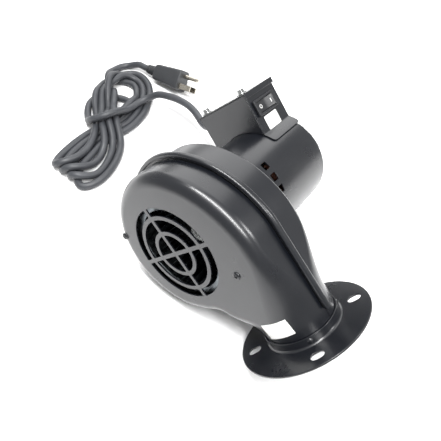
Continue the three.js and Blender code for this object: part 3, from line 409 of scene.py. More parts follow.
def cord_jacket(colours):
    """Flexible PVC cord jacket, extruded: matt black with a soft sheen, slightly uneven, greyed by
    dust along its length."""
    material, tree = new_material("extruded PVC jacket")
    grime = remap(tree, noise(tree, 22, 3, 0.6), 0.35, 0.7, 0, 0.5)
    colour = blend(tree, grime, tuple(colours.jacket), linear("#44464a"))
    surface(tree, Base_Color=colour, Roughness=remap(tree, noise(tree, 6), 0.3, 0.7, 0.40, 0.54),
            IOR=1.53, Normal=bump(tree, noise(tree, 1.0, 3, 0.6), 0.03, 0.5))
    return material


def moulded_plug(colours):
    """Soft PVC moulded over the plug's contacts: satin black with the fine grain of a sparked
    mould."""
    material, tree = new_material("moulded PVC plug")
    colour = blend(tree, noise(tree, 14, 3), tuple(colours.plug), linear("#35373a"))
    surface(tree, Base_Color=colour, Roughness=remap(tree, noise(tree, 5), 0.3, 0.7, 0.38, 0.5),
            IOR=1.53, Normal=bump(tree, noise(tree, 0.45, 2), 0.02, 0.5))
    return material


def moulded_nylon(colours):
    """Black nylon, injection moulded: dense black, semi-gloss, with a fine mould grain."""
    material, tree = new_material("moulded black nylon")
    colour = blend(tree, noise(tree, 4), tuple(colours.nylon), linear("#232427"))
    surface(tree, Base_Color=colour, Roughness=remap(tree, noise(tree, 3), 0.3, 0.7, 0.3, 0.44),
            IOR=1.53, Normal=bump(tree, noise(tree, 0.35), 0.01, 0.5))
    return material


def coated_label(colours):
    """Coated paper label: clean white with paper fibre and faint yellowing in patches."""
    material, tree = new_material("coated paper label")
    colour = blend(tree, remap(tree, noise(tree, 9, 3), 0.4, 0.7, 0, 0.6), tuple(colours.label),
                   linear("#e2e1da"))
    surface(tree, Base_Color=colour, Roughness=0.5, IOR=1.45,
            Normal=bump(tree, noise(tree, 0.5, 4, 0.7), 0.01, 0.5))
    return material


def pad_print(colours):
    """White pad-printing ink of the switch's marks: thin, matt and slightly uneven."""
    material, tree = new_material("white pad print ink")
    colour = blend(tree, noise(tree, 0.6, 3), linear("#f2f2f0"), linear("#cfcfcc"))
    surface(tree, Base_Color=colour, Roughness=0.6)
    return material


FINISHES = {
    "enamel": (black_enamel, "black_paint"),
    "galvanised": (galvanised_sheet_in_painted_shade, "galvanised_steel"),
    "zinc": (zinc_plating, "zinc_steel"),
    "laminations": (core_laminations, "lamination_steel"),
    "copper": (winding_copper, "copper_wire"),
    "bronze": (sintered_bronze, "sintered_bronze"),
    "pins": (plated_pins, "plated_brass"),
    "jacket": (cord_jacket, "cord_rubber"),
    "plug": (moulded_plug, "cord_rubber"),
    "nylon": (moulded_nylon, "black_nylon"),
    "label": (coated_label, "white_label"),
    "ink": (pad_print, "white_label"),
}
made_finishes = {}


def finish_named(name):
    if name not in made_finishes:
        made_finishes[name] = FINISHES[name][0](bpy.context.scene.fan_colours)
    return made_finishes[name]


# ---------------------------------------------------------------- mesh tools, mm
def polar(r, angle):
    return r * math.cos(math.radians(angle)), r * math.sin(math.radians(angle))


def arc(x, y, r, start, end, steps):
    """Points of an arc about (x, y)."""
    return [(x + polar(r, a)[0], y + polar(r, a)[1]) for a in np.linspace(start, end, steps + 1)]


def grid(bm, rows, around=False, across=False):
    """Quads between rows of points; `around` closes each row, `across` closes the last to the
    first."""
    made = [[bm.verts.new(p) for p in row] for row in rows]
    pairs = list(zip(made, made[1:])) + ([(made[-1], made[0])] if across else [])
    for low, high in pairs:
        count = len(low)
        for i in range(count if around else count - 1):
            j = (i + 1) % count
            corners = [low[i], low[j], high[j], high[i]]
            if len({tuple(c.co) for c in corners}) > 2:
                bm.faces.new(corners)
    return made


def loop_edges(bm, points):
    verts = [bm.verts.new(p) for p in points]
    return [bm.edges.new((v, verts[(i + 1) % len(verts)])) for i, v in enumerate(verts)]


def fill(bm, loops):
    """Flat faces between closed loops of points, the later ones being holes."""
    edges = [e for loop in loops for e in loop_edges(bm, loop)]
    bmesh.ops.triangle_fill(bm, use_beauty=True, use_dissolve=False, edges=edges)


def normals_2d(loop):
    """Outward unit normals of a closed flat outline, whichever way it runs."""
    p = np.array(loop, float)
    following, before = np.roll(p, -1, 0), np.roll(p, 1, 0)
    area = np.sum(p[:, 0] * following[:, 1] - following[:, 0] * p[:, 1])
    t = following - before
    n = np.stack([t[:, 1], -t[:, 0]], 1) * (1 if area > 0 else -1)
    return n / np.maximum(np.linalg.norm(n, axis=1, keepdims=True), 1e-9)


def grown(loop, amount):
    return [tuple(p) for p in np.array(loop, float) + normals_2d(loop) * amount]


def plate(bm, outline, holes, low, high, lip, at):
    """Sheet between two heights with rolled edges of radius `lip` round its outline and holes.
    `at` takes a flat point and a height to a point of the frame; no outline leaves the rim open."""
    turns = [0, 30, 60, 90]
    for h, way in ((low, 1), (high, -1)):
        loops = [grown(outline, -lip)] + [grown(hole, lip) for hole in holes]
        fill(bm, [[at(x, y, h) for x, y in loop] for loop in loops])
    for loop, side in [(outline, -1)] + [(hole, 1) for hole in holes]:
        rows = []
        for h, way in ((low, 1), (high, -1)):
            steps = turns if way > 0 else turns[::-1]
            for a in steps:
                away = lip * (1 - math.sin(math.radians(a)))
                depth = lip * (1 - math.cos(math.radians(a)))
                rows.append([at(x, y, h + way * depth) for x, y in grown(loop, side * away)])
        grid(bm, rows, around=True)


def lathe(bm, profile, sides, at, closed=True):
    """Surface of revolution of [radius, height] points."""
    rows = []
    for k in range(sides):
        c, s = polar(1, 360 * k / sides)
        rows.append([at(r * c, r * s, h) for r, h in profile])
    flipped = [list(row) for row in zip(*rows)]
    grid(bm, flipped, around=True, across=closed and profile[0][0] > 0)


def about_shaft(x, z, y):
    return (WHEEL_X + x, y, WHEEL_Z + z)


def about_outlet(x, y, z):
    return (x, y, z)


def plain(x, y, z):
    return (x, y, z)


def rounded(profile, r, steps=3):
    """Closed profile with its corners rounded."""
    out = []
    count = len(profile)
    for i, p in enumerate(profile):
        p, a, b = (np.array(q, float) for q in (p, profile[i - 1], profile[(i + 1) % count]))
        da, db = a - p, b - p
        la, lb = np.linalg.norm(da), np.linalg.norm(db)
        reach = min(r, la * 0.45, lb * 0.45)
        start, end = p + da / la * reach, p + db / lb * reach
        for t in np.linspace(0, 1, steps + 1):
            out.append(tuple((1 - t) ** 2 * start + 2 * t * (1 - t) * p + t * t * end))
    return out


def shade(bm, sharp):
    for face in bm.faces:
        face.smooth = True
    for edge in bm.edges:
        edge.smooth = len(edge.link_faces) == 2 and edge.calc_face_angle(0) < math.radians(sharp)


def evaluated(obj):
    """Plain mesh of an object with its modifiers applied."""
    graph = bpy.context.evaluated_depsgraph_get()
    return bpy.data.meshes.new_from_object(obj.evaluated_get(graph), depsgraph=graph)


def bake(obj):
    mesh = evaluated(obj)
    obj.modifiers.clear()
    obj.data = mesh


def raw_object(name, bm, merge=1e-3):
    bmesh.ops.remove_doubles(bm, verts=bm.verts, dist=merge)
    bmesh.ops.recalc_face_normals(bm, faces=bm.faces)
    mesh = bpy.data.meshes.new(name)
    bm.to_mesh(mesh)
    bm.free()
    obj = bpy.data.objects.new(name, mesh)
    bpy.context.scene.collection.objects.link(obj)
    return obj


def sheet_of(obj, thickness, offset=-1.0):
    """Gives an open surface its sheet thickness, inwards unless offset says otherwise."""
    solid = obj.modifiers.new("sheet", "SOLIDIFY")
    solid.thickness = thickness
    solid.offset = offset
    solid.use_even_offset = True
    bake(obj)


def carve(obj, tools):
    """Cuts closed tools out of a piece."""
    for tool in tools:
        cut = obj.modifiers.new("cut", "BOOLEAN")
        cut.operation = "DIFFERENCE"
        cut.solver = "EXACT"
        cut.object = tool
    bake(obj)
    for tool in tools:
        bpy.data.objects.remove(tool)


def soften(obj, width, sharp=30, segments=2):
    """Breaks the edges of a piece by `width`."""
    edge = obj.modifiers.new("edges", "BEVEL")
    edge.width = width
    edge.segments = segments
    edge.limit_method = "ANGLE"
    edge.angle_limit = math.radians(sharp)
    edge.use_clamp_overlap = True
    bake(obj)


def finish_piece(obj, finish, nodes=(), body="housing", place=FAN, sharp=38):
    """Places a piece, weights its normals to its flats, and ties it to the frame."""
    bm = bmesh.new()
    bm.from_mesh(obj.data)
    shade(bm, sharp)
    bm.to_mesh(obj.data)
    bm.free()
    obj.data.transform(place)
    weights = obj.modifiers.new("flats", "WEIGHTED_NORMAL")
    weights.keep_sharp = True
    bake(obj)
    obj.data.materials.clear()
    obj.data.materials.append(finish_named(finish))
    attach(obj, body)
    if nodes:
        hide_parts(*nodes)
    return obj


def slab(low, high):
    """Closed box between two corners."""
    bm = bmesh.new()
    bmesh.ops.create_cube(bm, size=1)
    size = [b - a for a, b in zip(low, high)]
    middle = [(a + b) / 2 for a, b in zip(low, high)]
    bmesh.ops.transform(bm, matrix=Matrix.Translation(middle) @ Matrix.Diagonal((*size, 1)),
                        verts=bm.verts)
    return raw_object("tool", bm)


# ---------------------------------------------------------------- geometry nodes
def copies_tree(name, ring):
    """Node tree that repeats a piece, round a ring about y or at the vertices of the object that
    carries it."""
    tree = bpy.data.node_groups.new(name, "GeometryNodeTree")
    sockets = [("Geometry", "NodeSocketGeometry"), ("Piece", "NodeSocketObject"),
               ("Finish", "NodeSocketMaterial"), ("Count", "NodeSocketInt"),
               ("Turn", "NodeSocketFloat")]
    for label, kind in sockets:
        tree.interface.new_socket(label, in_out="INPUT", socket_type=kind)
    tree.interface.new_socket("Geometry", in_out="OUTPUT", socket_type="NodeSocketGeometry")
    given = add(tree, "NodeGroupInput").outputs
    piece = add(tree, "GeometryNodeObjectInfo", Object=given["Piece"]).outputs["Geometry"]
    if ring:
        points = add(tree, "GeometryNodePoints", Count=given["Count"]).outputs[0]
        step = add(tree, "ShaderNodeMath", {"operation": "DIVIDE"}, i0=-math.tau,
                   i1=given["Count"]).outputs[0]
        index = add(tree, "GeometryNodeInputIndex").outputs[0]
        angle = add(tree, "ShaderNodeMath", {"operation": "MULTIPLY_ADD"}, i0=index, i1=step,
                    i2=given["Turn"]).outputs[0]
        turn = add(tree, "ShaderNodeCombineXYZ", Y=angle).outputs[0]
        copies = add(tree, "GeometryNodeInstanceOnPoints", Points=points, Instance=piece,
                     Rotation=turn).outputs[0]
    else:
        turn = add(tree, "ShaderNodeCombineXYZ", Z=given["Turn"]).outputs[0]
        copies = add(tree, "GeometryNodeInstanceOnPoints", Points=given["Geometry"], Instance=piece,
                     Rotation=turn).outputs[0]
    real = add(tree, "GeometryNodeRealizeInstances", Geometry=copies).outputs[0]
    painted = add(tree, "GeometryNodeSetMaterial", Geometry=real, Material=given["Finish"]).outputs[0]
    add(tree, "NodeGroupOutput", Geometry=painted)
    return tree


def copies(name, piece, finish, points=None, count=0, turn=0.0):
    """One mesh of a piece repeated round the y axis, or at points."""
    label = "copies round a ring" if points is None else "copies at points"
    tree = bpy.data.node_groups.get(label) or copies_tree(label, points is None)
    mesh = bpy.data.meshes.new(name)
    mesh.from_pydata(points or [(0, 0, 0)], [], [])
    obj = bpy.data.objects.new(name, mesh)
    bpy.context.scene.collection.objects.link(obj)
    modifier = obj.modifiers.new("copies", "NODES")
    modifier.node_group = tree
    values = {"Piece": piece, "Finish": finish_named(finish), "Count": count, "Turn": turn}
    for item in tree.interface.items_tree:
        if item.in_out == "INPUT" and item.name in values:
            modifier[item.identifier] = values[item.name]
    bake(obj)
    bpy.data.objects.remove(piece)
    return obj


# ---------------------------------------------------------------- housing outline
def catmull(knots, per_span):
    """Centripetal Catmull-Rom curve through points, sampled."""
    p = np.array(knots, float)
    p = np.vstack([2 * p[0] - p[1], p, 2 * p[-1] - p[-2]])
    out = []
    for a, b, c, d in zip(p, p[1:], p[2:], p[3:]):
        k = [math.sqrt(max(np.linalg.norm(v - u), 1e-6)) for u, v in ((a, b), (b, c), (c, d))]
        t1 = ((b - a) / k[0] - (c - a) / (k[0] + k[1]) + (c - b) / k[1]) * k[1]
        t2 = ((c - b) / k[1] - (d - b) / (k[1] + k[2]) + (d - c) / k[2]) * k[1]
        for t in np.arange(per_span) / per_span:
            out.append(b + t1 * t + (3 * (c - b) - 2 * t1 - t2) * t * t + (t1 + t2 - 2 * (c - b)) * t ** 3)
    out.append(p[-2])
    return np.array(out)


def respaced(points, count=None, step=None):
    """The same line with evenly spaced points."""
    p = np.array(points, float)
    run = np.concatenate([[0], np.cumsum(np.linalg.norm(np.diff(p, axis=0), axis=1))])
    count = count or max(2, int(round(run[-1] / step)) + 1)
    at = np.linspace(0, run[-1], count)
    return np.stack([np.interp(at, run, p[:, i]) for i in range(p.shape[1])], 1)


def smooth_step(value, low, high):
    t = min(max((value - low) / (high - low), 0), 1)
    return t * t * (3 - 2 * t)


def housing_stations():
    """Outline of the scroll and neck: points, outward normals, share of the way to the round neck."""
    knots = [(-NECK_R, NECK_END), (-NECK_R, 5), (-NECK_R, COLLAR_TOP), *TONGUE]
    for angle, r in SCROLL:
        a, b = polar(r, angle)
        knots.append((WHEEL_X + a, WHEEL_Z + b))
    knots += [*NECK_RIGHT, (NECK_R, COLLAR_TOP), (NECK_R, NECK_END)]
    line = respaced(catmull(knots, 24), count=STATIONS + 1)
    t = np.gradient(line, axis=0)
    n = np.stack([-t[:, 1], t[:, 0]], 1)
    n /= np.linalg.norm(n, axis=1, keepdims=True)
    n[0], n[-1] = (-1, 0), (1, 0)
    shares = []
    for i, (x, z) in enumerate(line):
        start, end = (80, 22) if x > -10 else (33, 7)
        round_end = not STATIONS * 0.15 < i < STATIONS * 0.6
        shares.append(smooth_step(start - z, 0, start - end) if round_end else 0.0)
    return line, n, shares


OUTLINE, OUTWARD, SHARES = housing_stations()


def housing_rows(side, grow, turns):
    """Rows of the housing's skin from the seam round the rounded edge to the flat face."""
    edge = EDGE_R if side < 0 else REAR_EDGE_R
    rows = []
    for turn in [None, *turns]:
        row = []
        for i, ((x, z), (nx, nz), share) in enumerate(zip(OUTLINE, OUTWARD, SHARES)):
            r = edge + (NECK_R - NECK_FLAT - edge) * share + grow
            a = math.radians(turn or 0)
            inward = grow - (0 if turn is None else r * (1 - math.cos(a)))
            y = GAP / 2 if turn is None else HALF_DEPTH + grow - r + r * math.sin(a)
            point = Vector((x + nx * inward, side * y, NECK_END if i in (0, STATIONS) else z + nz * inward))
            spread = math.hypot(point.x, point.y)
            if point.z < COLLAR_TOP + GAP and spread > NECK_R + grow:
                point.x *= (NECK_R + grow) / spread
                point.y *= (NECK_R + grow) / spread
            row.append(point)
        rows.append(row)
    return rows


def housing_half(side, holes):
    """Half of the housing as a closed shell of sheet, its flat face pierced by holes."""
    bm = bmesh.new()
    turns = np.linspace(0, 90, 11)
    outer = housing_rows(side, 0, turns)
    inner = housing_rows(side, -SHEET, turns)
    grid(bm, outer)
    grid(bm, inner)
    grid(bm, [outer[0], inner[0]])
    for end in (0, -1):
        grid(bm, [[row[end] for row in outer], [row[end] for row in inner]])
    faces = ((outer[-1], HALF_DEPTH, 1), (inner[-1], HALF_DEPTH - SHEET, -1))
    lip = 0.12
    for rim, y, _ in faces:
        fill(bm, [[tuple(p) for p in rim]] +
             [[(x, side * y, z) for x, z in grown(hole, lip)] for hole in holes])
    grid(bm, [[outer[-1][0], outer[-1][-1]], [inner[-1][0], inner[-1][-1]]])
    for hole in holes:
        rows = []
        for y, way in ((HALF_DEPTH, -1), (HALF_DEPTH - SHEET, 1)):
            for a in ([0, 30, 60, 90] if way < 0 else [90, 60, 30, 0]):
                away = lip * (1 - math.sin(math.radians(a)))
                depth = lip * (1 - math.cos(math.radians(a)))
                rows.append([(x, side * (y + way * depth), z) for x, z in grown(hole, away)])
        grid(bm, rows, around=True)
    return bm


def seam_band(bm, section):
    """Closed band along the housing's outline with a section of [outward, y] points."""
    rows = [[(x + nx * out, y, z + nz * out) for out, y in section]
            for (x, z), (nx, nz) in zip(OUTLINE, OUTWARD) if z > SEAM_END_Z]
    grid(bm, rows, around=True)
    for row in (rows[0], rows[-1]):
        bm.faces.new([bm.verts.new(p) for p in row])


def grille_holes():
    """Openings of the stamped grille: between two rings and the rim, cut by four spokes."""
    rings = [(RING_1_R + RIB_W / 2, INLET_R), (RING_2_R + RIB_W / 2, RING_1_R - RIB_W / 2),
             (0, RING_2_R - RIB_W / 2)]
    holes = []
    for k in range(4):
        middle = SPOKE_TURN + 45 + 90 * k
        for r_in, r_out in rings:
            half = math.degrees(math.asin(RIB_W / 2 / r_out))
            loop = arc(WHEEL_X, WHEEL_Z, r_out, middle - 45 + half, middle + 45 - half, 26)
            if r_in:
                half = math.degrees(math.asin(RIB_W / 2 / r_in))
                loop += arc(WHEEL_X, WHEEL_Z, r_in, middle + 45 - half, middle - 45 + half, 26)
            else:
                a, b = polar(RIB_W / math.sqrt(2), middle)
                loop.append((WHEEL_X + a, WHEEL_Z + b))
            holes.append(round_corners(loop, 0.9))
    return holes


def round_corners(loop, r):
    """Closed loop whose sharp corners are rounded, and whose smooth runs stay."""
    p = np.array(loop, float)
    out = []
    for i in range(len(p)):
        a, b, c = p[i - 1], p[i], p[(i + 1) % len(p)]
        u, v = (b - a) / np.linalg.norm(b - a), (c - b) / np.linalg.norm(c - b)
        if abs(u[0] * v[1] - u[1] * v[0]) < 0.4:
            out.append(tuple(b))
            continue
        start = b - u * min(r, np.linalg.norm(b - a) * 0.49)
        end = b + v * min(r, np.linalg.norm(c - b) * 0.49)
        for t in np.linspace(0, 1, 5):
            out.append(tuple((1 - t) ** 2 * start + 2 * t * (1 - t) * b + t * t * end))
    return out


def circle(x, y, r, sides=24):
    return arc(x, y, r, 0, 360 - 360 / sides, sides - 1)


class FAN_OT_housing(bpy.types.Operator):
    """Builds the two stamped halves of the scroll housing and the rolled seam that joins them"""
    bl_idname = "fan.housing"
    bl_label = "Housing"

    def execute(self, context):
        screws = [circle(WHEEL_X + x, WHEEL_Z + z, 2.0) for x, z in FACE_SCREWS]
        front = housing_half(-1, grille_holes() + screws)
        seam_band(front, [(-0.4, -GAP / 2), (-0.4, -GAP / 2 - SHEET), (SEAM_OUT - 2.2, -GAP / 2 - SHEET),
                          (SEAM_OUT - 2.2, -GAP / 2)])
        finish_piece(raw_object("housing_front_half", front), "enamel", ["front_shell"])

        rear = housing_half(1, [circle(WHEEL_X, WHEEL_Z, 11.0, 48)])
        lip = -SHEET - GAP * 1.5
        roll = rounded([(-0.4, GAP / 2), (SEAM_OUT - 1.9, GAP / 2), (SEAM_OUT - 1.9, lip),
                        (SEAM_OUT - 3.4, lip), (SEAM_OUT - 3.2, lip - 1.1), (SEAM_OUT - 0.9, lip - 1.1),
                        (SEAM_OUT, lip + 0.4), (SEAM_OUT, SEAM_R - 0.6), (SEAM_OUT - 1.4, SEAM_R + 0.7),
                        (SEAM_OUT - 3.2, SEAM_R + 0.5), (SEAM_OUT - 4.2, SEAM_R), (-0.4, SEAM_R)], 1.2, 4)
        seam_band(rear, roll)
        finish_piece(raw_object("housing_rear_half", rear), "enamel", ["rear_shell"])
        return {"FINISHED"}


class FAN_OT_flange(bpy.types.Operator):
    """Builds the slotted outlet flange with its drawn collar"""
    bl_idname = "fan.flange"
    bl_label = "Outlet flange"

    def execute(self, context):
        sizes = context.scene.fan_sizes
        reach = (sizes.slot_length - sizes.slot_width) / MM / 2
        half = sizes.slot_width / MM / 2
        stadium = arc(reach, 0, half, -90, 90, 10) + arc(-reach, 0, half, 90, 270, 10)
        slots = []
        for k in range(4):
            x, y = polar(FLANGE_FACE, 45 + 90 * k)
            c, s = polar(1, 45)
            slots.append([(x + u * c - v * s, y + u * s + v * c) for u, v in stadium])
        bm = bmesh.new()
        sides, lip = 120, 0.4
        bend = COLLAR_OUT + 1.8
        for z, inside in ((0, COLLAR_IN + 0.5), (FLANGE_T, bend)):
            loops = [circle(0, 0, FLANGE_R - lip, sides), circle(0, 0, inside, sides)]
            loops += [grown(slot, lip) for slot in slots]
            fill(bm, [[(x, y, z) for x, y in loop] for loop in loops])
        turns = [math.radians(a) for a in (0, 30, 60, 90)]
        rim = [(FLANGE_R - lip + lip * math.sin(a), lip - lip * math.cos(a)) for a in turns]
        rim += [(r, FLANGE_T - z) for r, z in rim[::-1]]
        lathe(bm, rim, sides, about_outlet, closed=False)
        neck = [(bend, FLANGE_T)] + [(bend - 1.8 * math.sin(a), FLANGE_T + 1.8 - 1.8 * math.cos(a))
                                     for a in turns[1:]]
        neck += [(COLLAR_OUT, COLLAR_TOP - 0.4), (COLLAR_OUT - 0.15, COLLAR_TOP - 0.1),
                 (COLLAR_OUT - 0.45, COLLAR_TOP), (COLLAR_IN + 0.15, COLLAR_TOP),
                 (COLLAR_IN, COLLAR_TOP - 0.2), (COLLAR_IN, 0.5), (COLLAR_IN + 0.15, 0.12),
                 (COLLAR_IN + 0.5, 0)]
        lathe(bm, neck, sides, about_outlet, closed=False)
        for slot in slots:
            rows = []
            for z, way in ((0, 1), (FLANGE_T, -1)):
                for a in (turns if way > 0 else turns[::-1]):
                    loop = grown(slot, lip * (1 - math.sin(a)))
                    rows.append([(x, y, z + way * lip * (1 - math.cos(a))) for x, y in loop])
            grid(bm, rows, around=True)
        finish_piece(raw_object("flange_plate", bm), "enamel", ["outlet_flange"])

        rivet = bmesh.new()
        out = COLLAR_OUT + 0.05
        profile = [(0, out + 0.75), (0.9, out + 0.68), (1.6, out + 0.42), (2.1, out),
                   (1.2, out - 0.1), (1.2, COLLAR_IN - 2.2), (1.9, COLLAR_IN - 2.3),
                   (1.6, COLLAR_IN - 2.9), (0, COLLAR_IN - 3.0)]
        # outwards along x, and turned about y into a ring that is stood up afterwards
        lathe(rivet, profile, 20, lambda a, b, h: (h, a, b), closed=False)
        ring = copies("collar_rivets", raw_object("rivet", rivet), "enamel", count=sizes.rivets,
                      turn=math.radians(45))
        ring.data.transform(Matrix.Translation((0, 0, COLLAR_TOP / 2 + 1)) @
                            Matrix.Rotation(math.radians(90), 4, "X"))
        finish_piece(ring, "enamel", [f"flange_rivet_{k}" for k in range(1, 5)])
        return {"FINISHED"}


class FAN_OT_wheel(bpy.types.Operator):
    """Builds the squirrel cage wheel: pressed blades between thin rims, end ring and back disc"""
    bl_idname = "fan.wheel"
    bl_label = "Wheel"

    def execute(self, context):
        sizes = context.scene.fan_sizes
        thick = sizes.blade_thickness / MM
        low = WHEEL_FRONT + RIM_T + GAP + 0.5
        high = WHEEL_BACK - RIM_T - GAP - 0.5
        blade = bmesh.new()
        near, far = [], []
        for s in np.linspace(0, 1, 7):
            r = WHEEL_IN + (WHEEL_R - 0.3 - WHEEL_IN) * s
            bend = 9 * s * (1 - s) - 5.5 * s * s
            near.append(polar(r, bend))
            far.append(polar(r, bend + math.degrees(thick / r)))
        section = near + far[::-1]
        rows = [[(x, y, z) for x, z in section] for y in np.linspace(low, high, 5)]
        grid(blade, rows, around=True)
        for row in (rows[0], rows[-1]):
            blade.faces.new([blade.verts.new(p) for p in row])
        strip = copies("wheel_blades", raw_object("blade", blade), "galvanised", count=sizes.blades)
        strip.data.transform(Matrix.Translation((WHEEL_X, 0, WHEEL_Z)))
        rims = bmesh.new()
        rims.from_mesh(strip.data)
        for a, b in ((low - 0.5, low + 0.5), (high - 0.5, high + 0.5)):
            lathe(rims, rounded([(WHEEL_IN + 0.4, a), (WHEEL_R - 0.2, a), (WHEEL_R - 0.2, b),
                                 (WHEEL_IN + 0.4, b)], 0.25, 2), 96, about_shaft)
        bmesh.ops.recalc_face_normals(rims, faces=rims.faces)
        rims.to_mesh(strip.data)
        rims.free()
        finish_piece(strip, "galvanised", ["wheel_blade_strip"], "wheel")

        ring = bmesh.new()
        lathe(ring, rounded([(WHEEL_IN - 0.8, WHEEL_FRONT), (WHEEL_R + 0.5, WHEEL_FRONT),
                             (WHEEL_R + 0.5, WHEEL_FRONT + RIM_T), (WHEEL_IN - 0.8, WHEEL_FRONT + RIM_T)],
                            0.35), 120, about_shaft)
        finish_piece(raw_object("wheel_front_ring", ring), "galvanised", ["wheel_end_ring"], "wheel")

        disc = bmesh.new()
        back = WHEEL_BACK
        lathe(disc, rounded([(SHAFT_R + GAP, back), (22, back), (30, back), (WHEEL_R + 0.5, back),
                             (WHEEL_R + 0.5, back - RIM_T), (30, back - RIM_T), (24, back - RIM_T - 2.2),
                             (SHAFT_R + GAP, back - RIM_T - 2.2)], 0.5), 120, about_shaft)
        finish_piece(raw_object("wheel_back_plate", disc), "galvanised", ["wheel_back_disc"], "wheel")
        return {"FINISHED"}


class FAN_OT_motor(bpy.types.Operator):
    """Builds the motor's drawn can with its ring of square vents and notches in the rear edge"""
    bl_idname = "fan.motor"
    bl_label = "Motor shell"

    def execute(self, context):
        sizes = context.scene.fan_sizes
        half = sizes.vent_size / MM / 2
        spread = math.degrees(math.asin(half / MOTOR_R))
        pitch = 360 / sizes.vents
        angles, kinds = [], []
        for k in range(sizes.vents):
            middle = VENT_TURN + pitch * k
            holed = (not VENT_GAP[0] < middle < VENT_GAP[1], k % 2 == 1)
            for a in np.linspace(-spread, spread, 5)[:-1]:
                angles.append(middle + a)
                kinds.append(holed)
            for a in np.linspace(spread, pitch - spread, 4)[:-1]:
                angles.append(middle + a)
                kinds.append((False, False))
        heights = [(MOTOR_R, y) for y in (MOTOR_FRONT, MOTOR_FRONT + 1.2, 40, 50, VENT_Y - half,
                                          VENT_Y, VENT_Y + half, 75, 90, 105, 120)]
        centre = MOTOR_REAR - MOTOR_EDGE_R
        for a in (0, 10, 20.2, 31, 42, 52.5, 63, 72, 81, 90):
            heights.append((MOTOR_R - MOTOR_EDGE_R + MOTOR_EDGE_R * math.cos(math.radians(a)),
                            centre + MOTOR_EDGE_R * math.sin(math.radians(a))))
        heights += [(30, MOTOR_REAR), (22, MOTOR_REAR), (14, MOTOR_REAR), (12, MOTOR_REAR - 0.25),
                    (11, MOTOR_REAR - 1.0)]
        bm = bmesh.new()
        rows = grid(bm, [[about_shaft(*polar(r, a), y) for a in angles] for r, y in heights],
                    around=True)
        doomed = []
        for j, (low, high) in enumerate(zip(rows, rows[1:])):
            y = (heights[j][1] + heights[j + 1][1]) / 2
            r = (heights[j][0] + heights[j + 1][0]) / 2
            for i, (windowed, notched) in enumerate(kinds):
                vent = windowed and abs(y - VENT_Y) < half
                notch = notched and y > MOTOR_REAR - 0.4 - 3.2 and r > MOTOR_R - 3
                if vent or notch:
                    corners = {low[i], high[i], low[(i + 1) % len(kinds)]}
                    doomed += [f for f in low[i].link_faces if corners <= set(f.verts)]
        bmesh.ops.delete(bm, geom=doomed, context="FACES")
        shell = raw_object("motor_can", bm)
        sheet_of(shell, 1.2)
        soften(shell, 0.2, 50)
        finish_piece(shell, "enamel", ["motor_shell"])

        nut = bmesh.new()
        hexagon = [polar(4, 60 * k) for k in range(6)]
        rows = [[(x * s, y, z * s) for x, z in rounded(hexagon, 0.4, 2)]
                for s, y in ((0.55, 0), (1, 0), (1, 2.7), (0.92, 3), (0.55, 3))]
        grid(nut, rows, around=True, across=True)
        lathe(nut, [(0, 4.2), (1.6, 4.2), (1.9, 3.9), (1.9, 2.0), (0, 2.0)], 20,
              lambda x, z, y: (x, y, z), closed=False)
        points = [(WHEEL_X + polar(BOLT_CIRCLE, a)[0], MOTOR_REAR + GAP,
                   WHEEL_Z + polar(BOLT_CIRCLE, a)[1]) for a in BOLT_ANGLES]
        nuts = copies("rear_nuts", raw_object("nut", nut), "zinc", points)
        finish_piece(nuts, "zinc", [f"bolt_nut_{k}" for k in range(1, 4)])
        return {"FINISHED"}


def lowest_wall(x):
    """Height of the motor's surface under a side wall of the box."""
    return WHEEL_Z + math.sqrt((MOTOR_R + GAP) ** 2 - (x - WHEEL_X) ** 2)


def side_strip(x, outward):
    """Side wall of the box in one piece with its foot: bent over the motor, free corners round."""
    bm = bmesh.new()
    r = MOTOR_R + GAP + BOX_T / 2
    wall = x - outward * BOX_T / 2
    meet = math.degrees(math.acos((wall - WHEEL_X) / r))
    tip = meet - FOOT_ANGLE * outward
    section = arc(WHEEL_X, WHEEL_Z, r, tip, meet - 1.6 * outward, 12)
    start = section[-1][1] + 1.8
    section += [(wall + outward * 0.18, start - 0.9), (wall, start)]
    section += [(wall, z) for z in np.linspace(start + 2, BOX_TOP - 0.2, 8)]
    rows = []
    run = np.concatenate([[0], np.cumsum(np.linalg.norm(np.diff(np.array(section), axis=0), axis=1))])
    corner = 3.5
    for s, (px, pz) in zip(run, section):
        inset = corner - math.sqrt(max(corner ** 2 - max(corner - s, 0) ** 2, 0))
        front = BOX_FRONT + (0 if s < 12 else (BOX_T + GAP))
        ys = np.linspace(front + inset, BOX_REAR - inset, 9)
        rows.append([(px, y, pz) for y in ys])
    grid(bm, rows)
    return bm


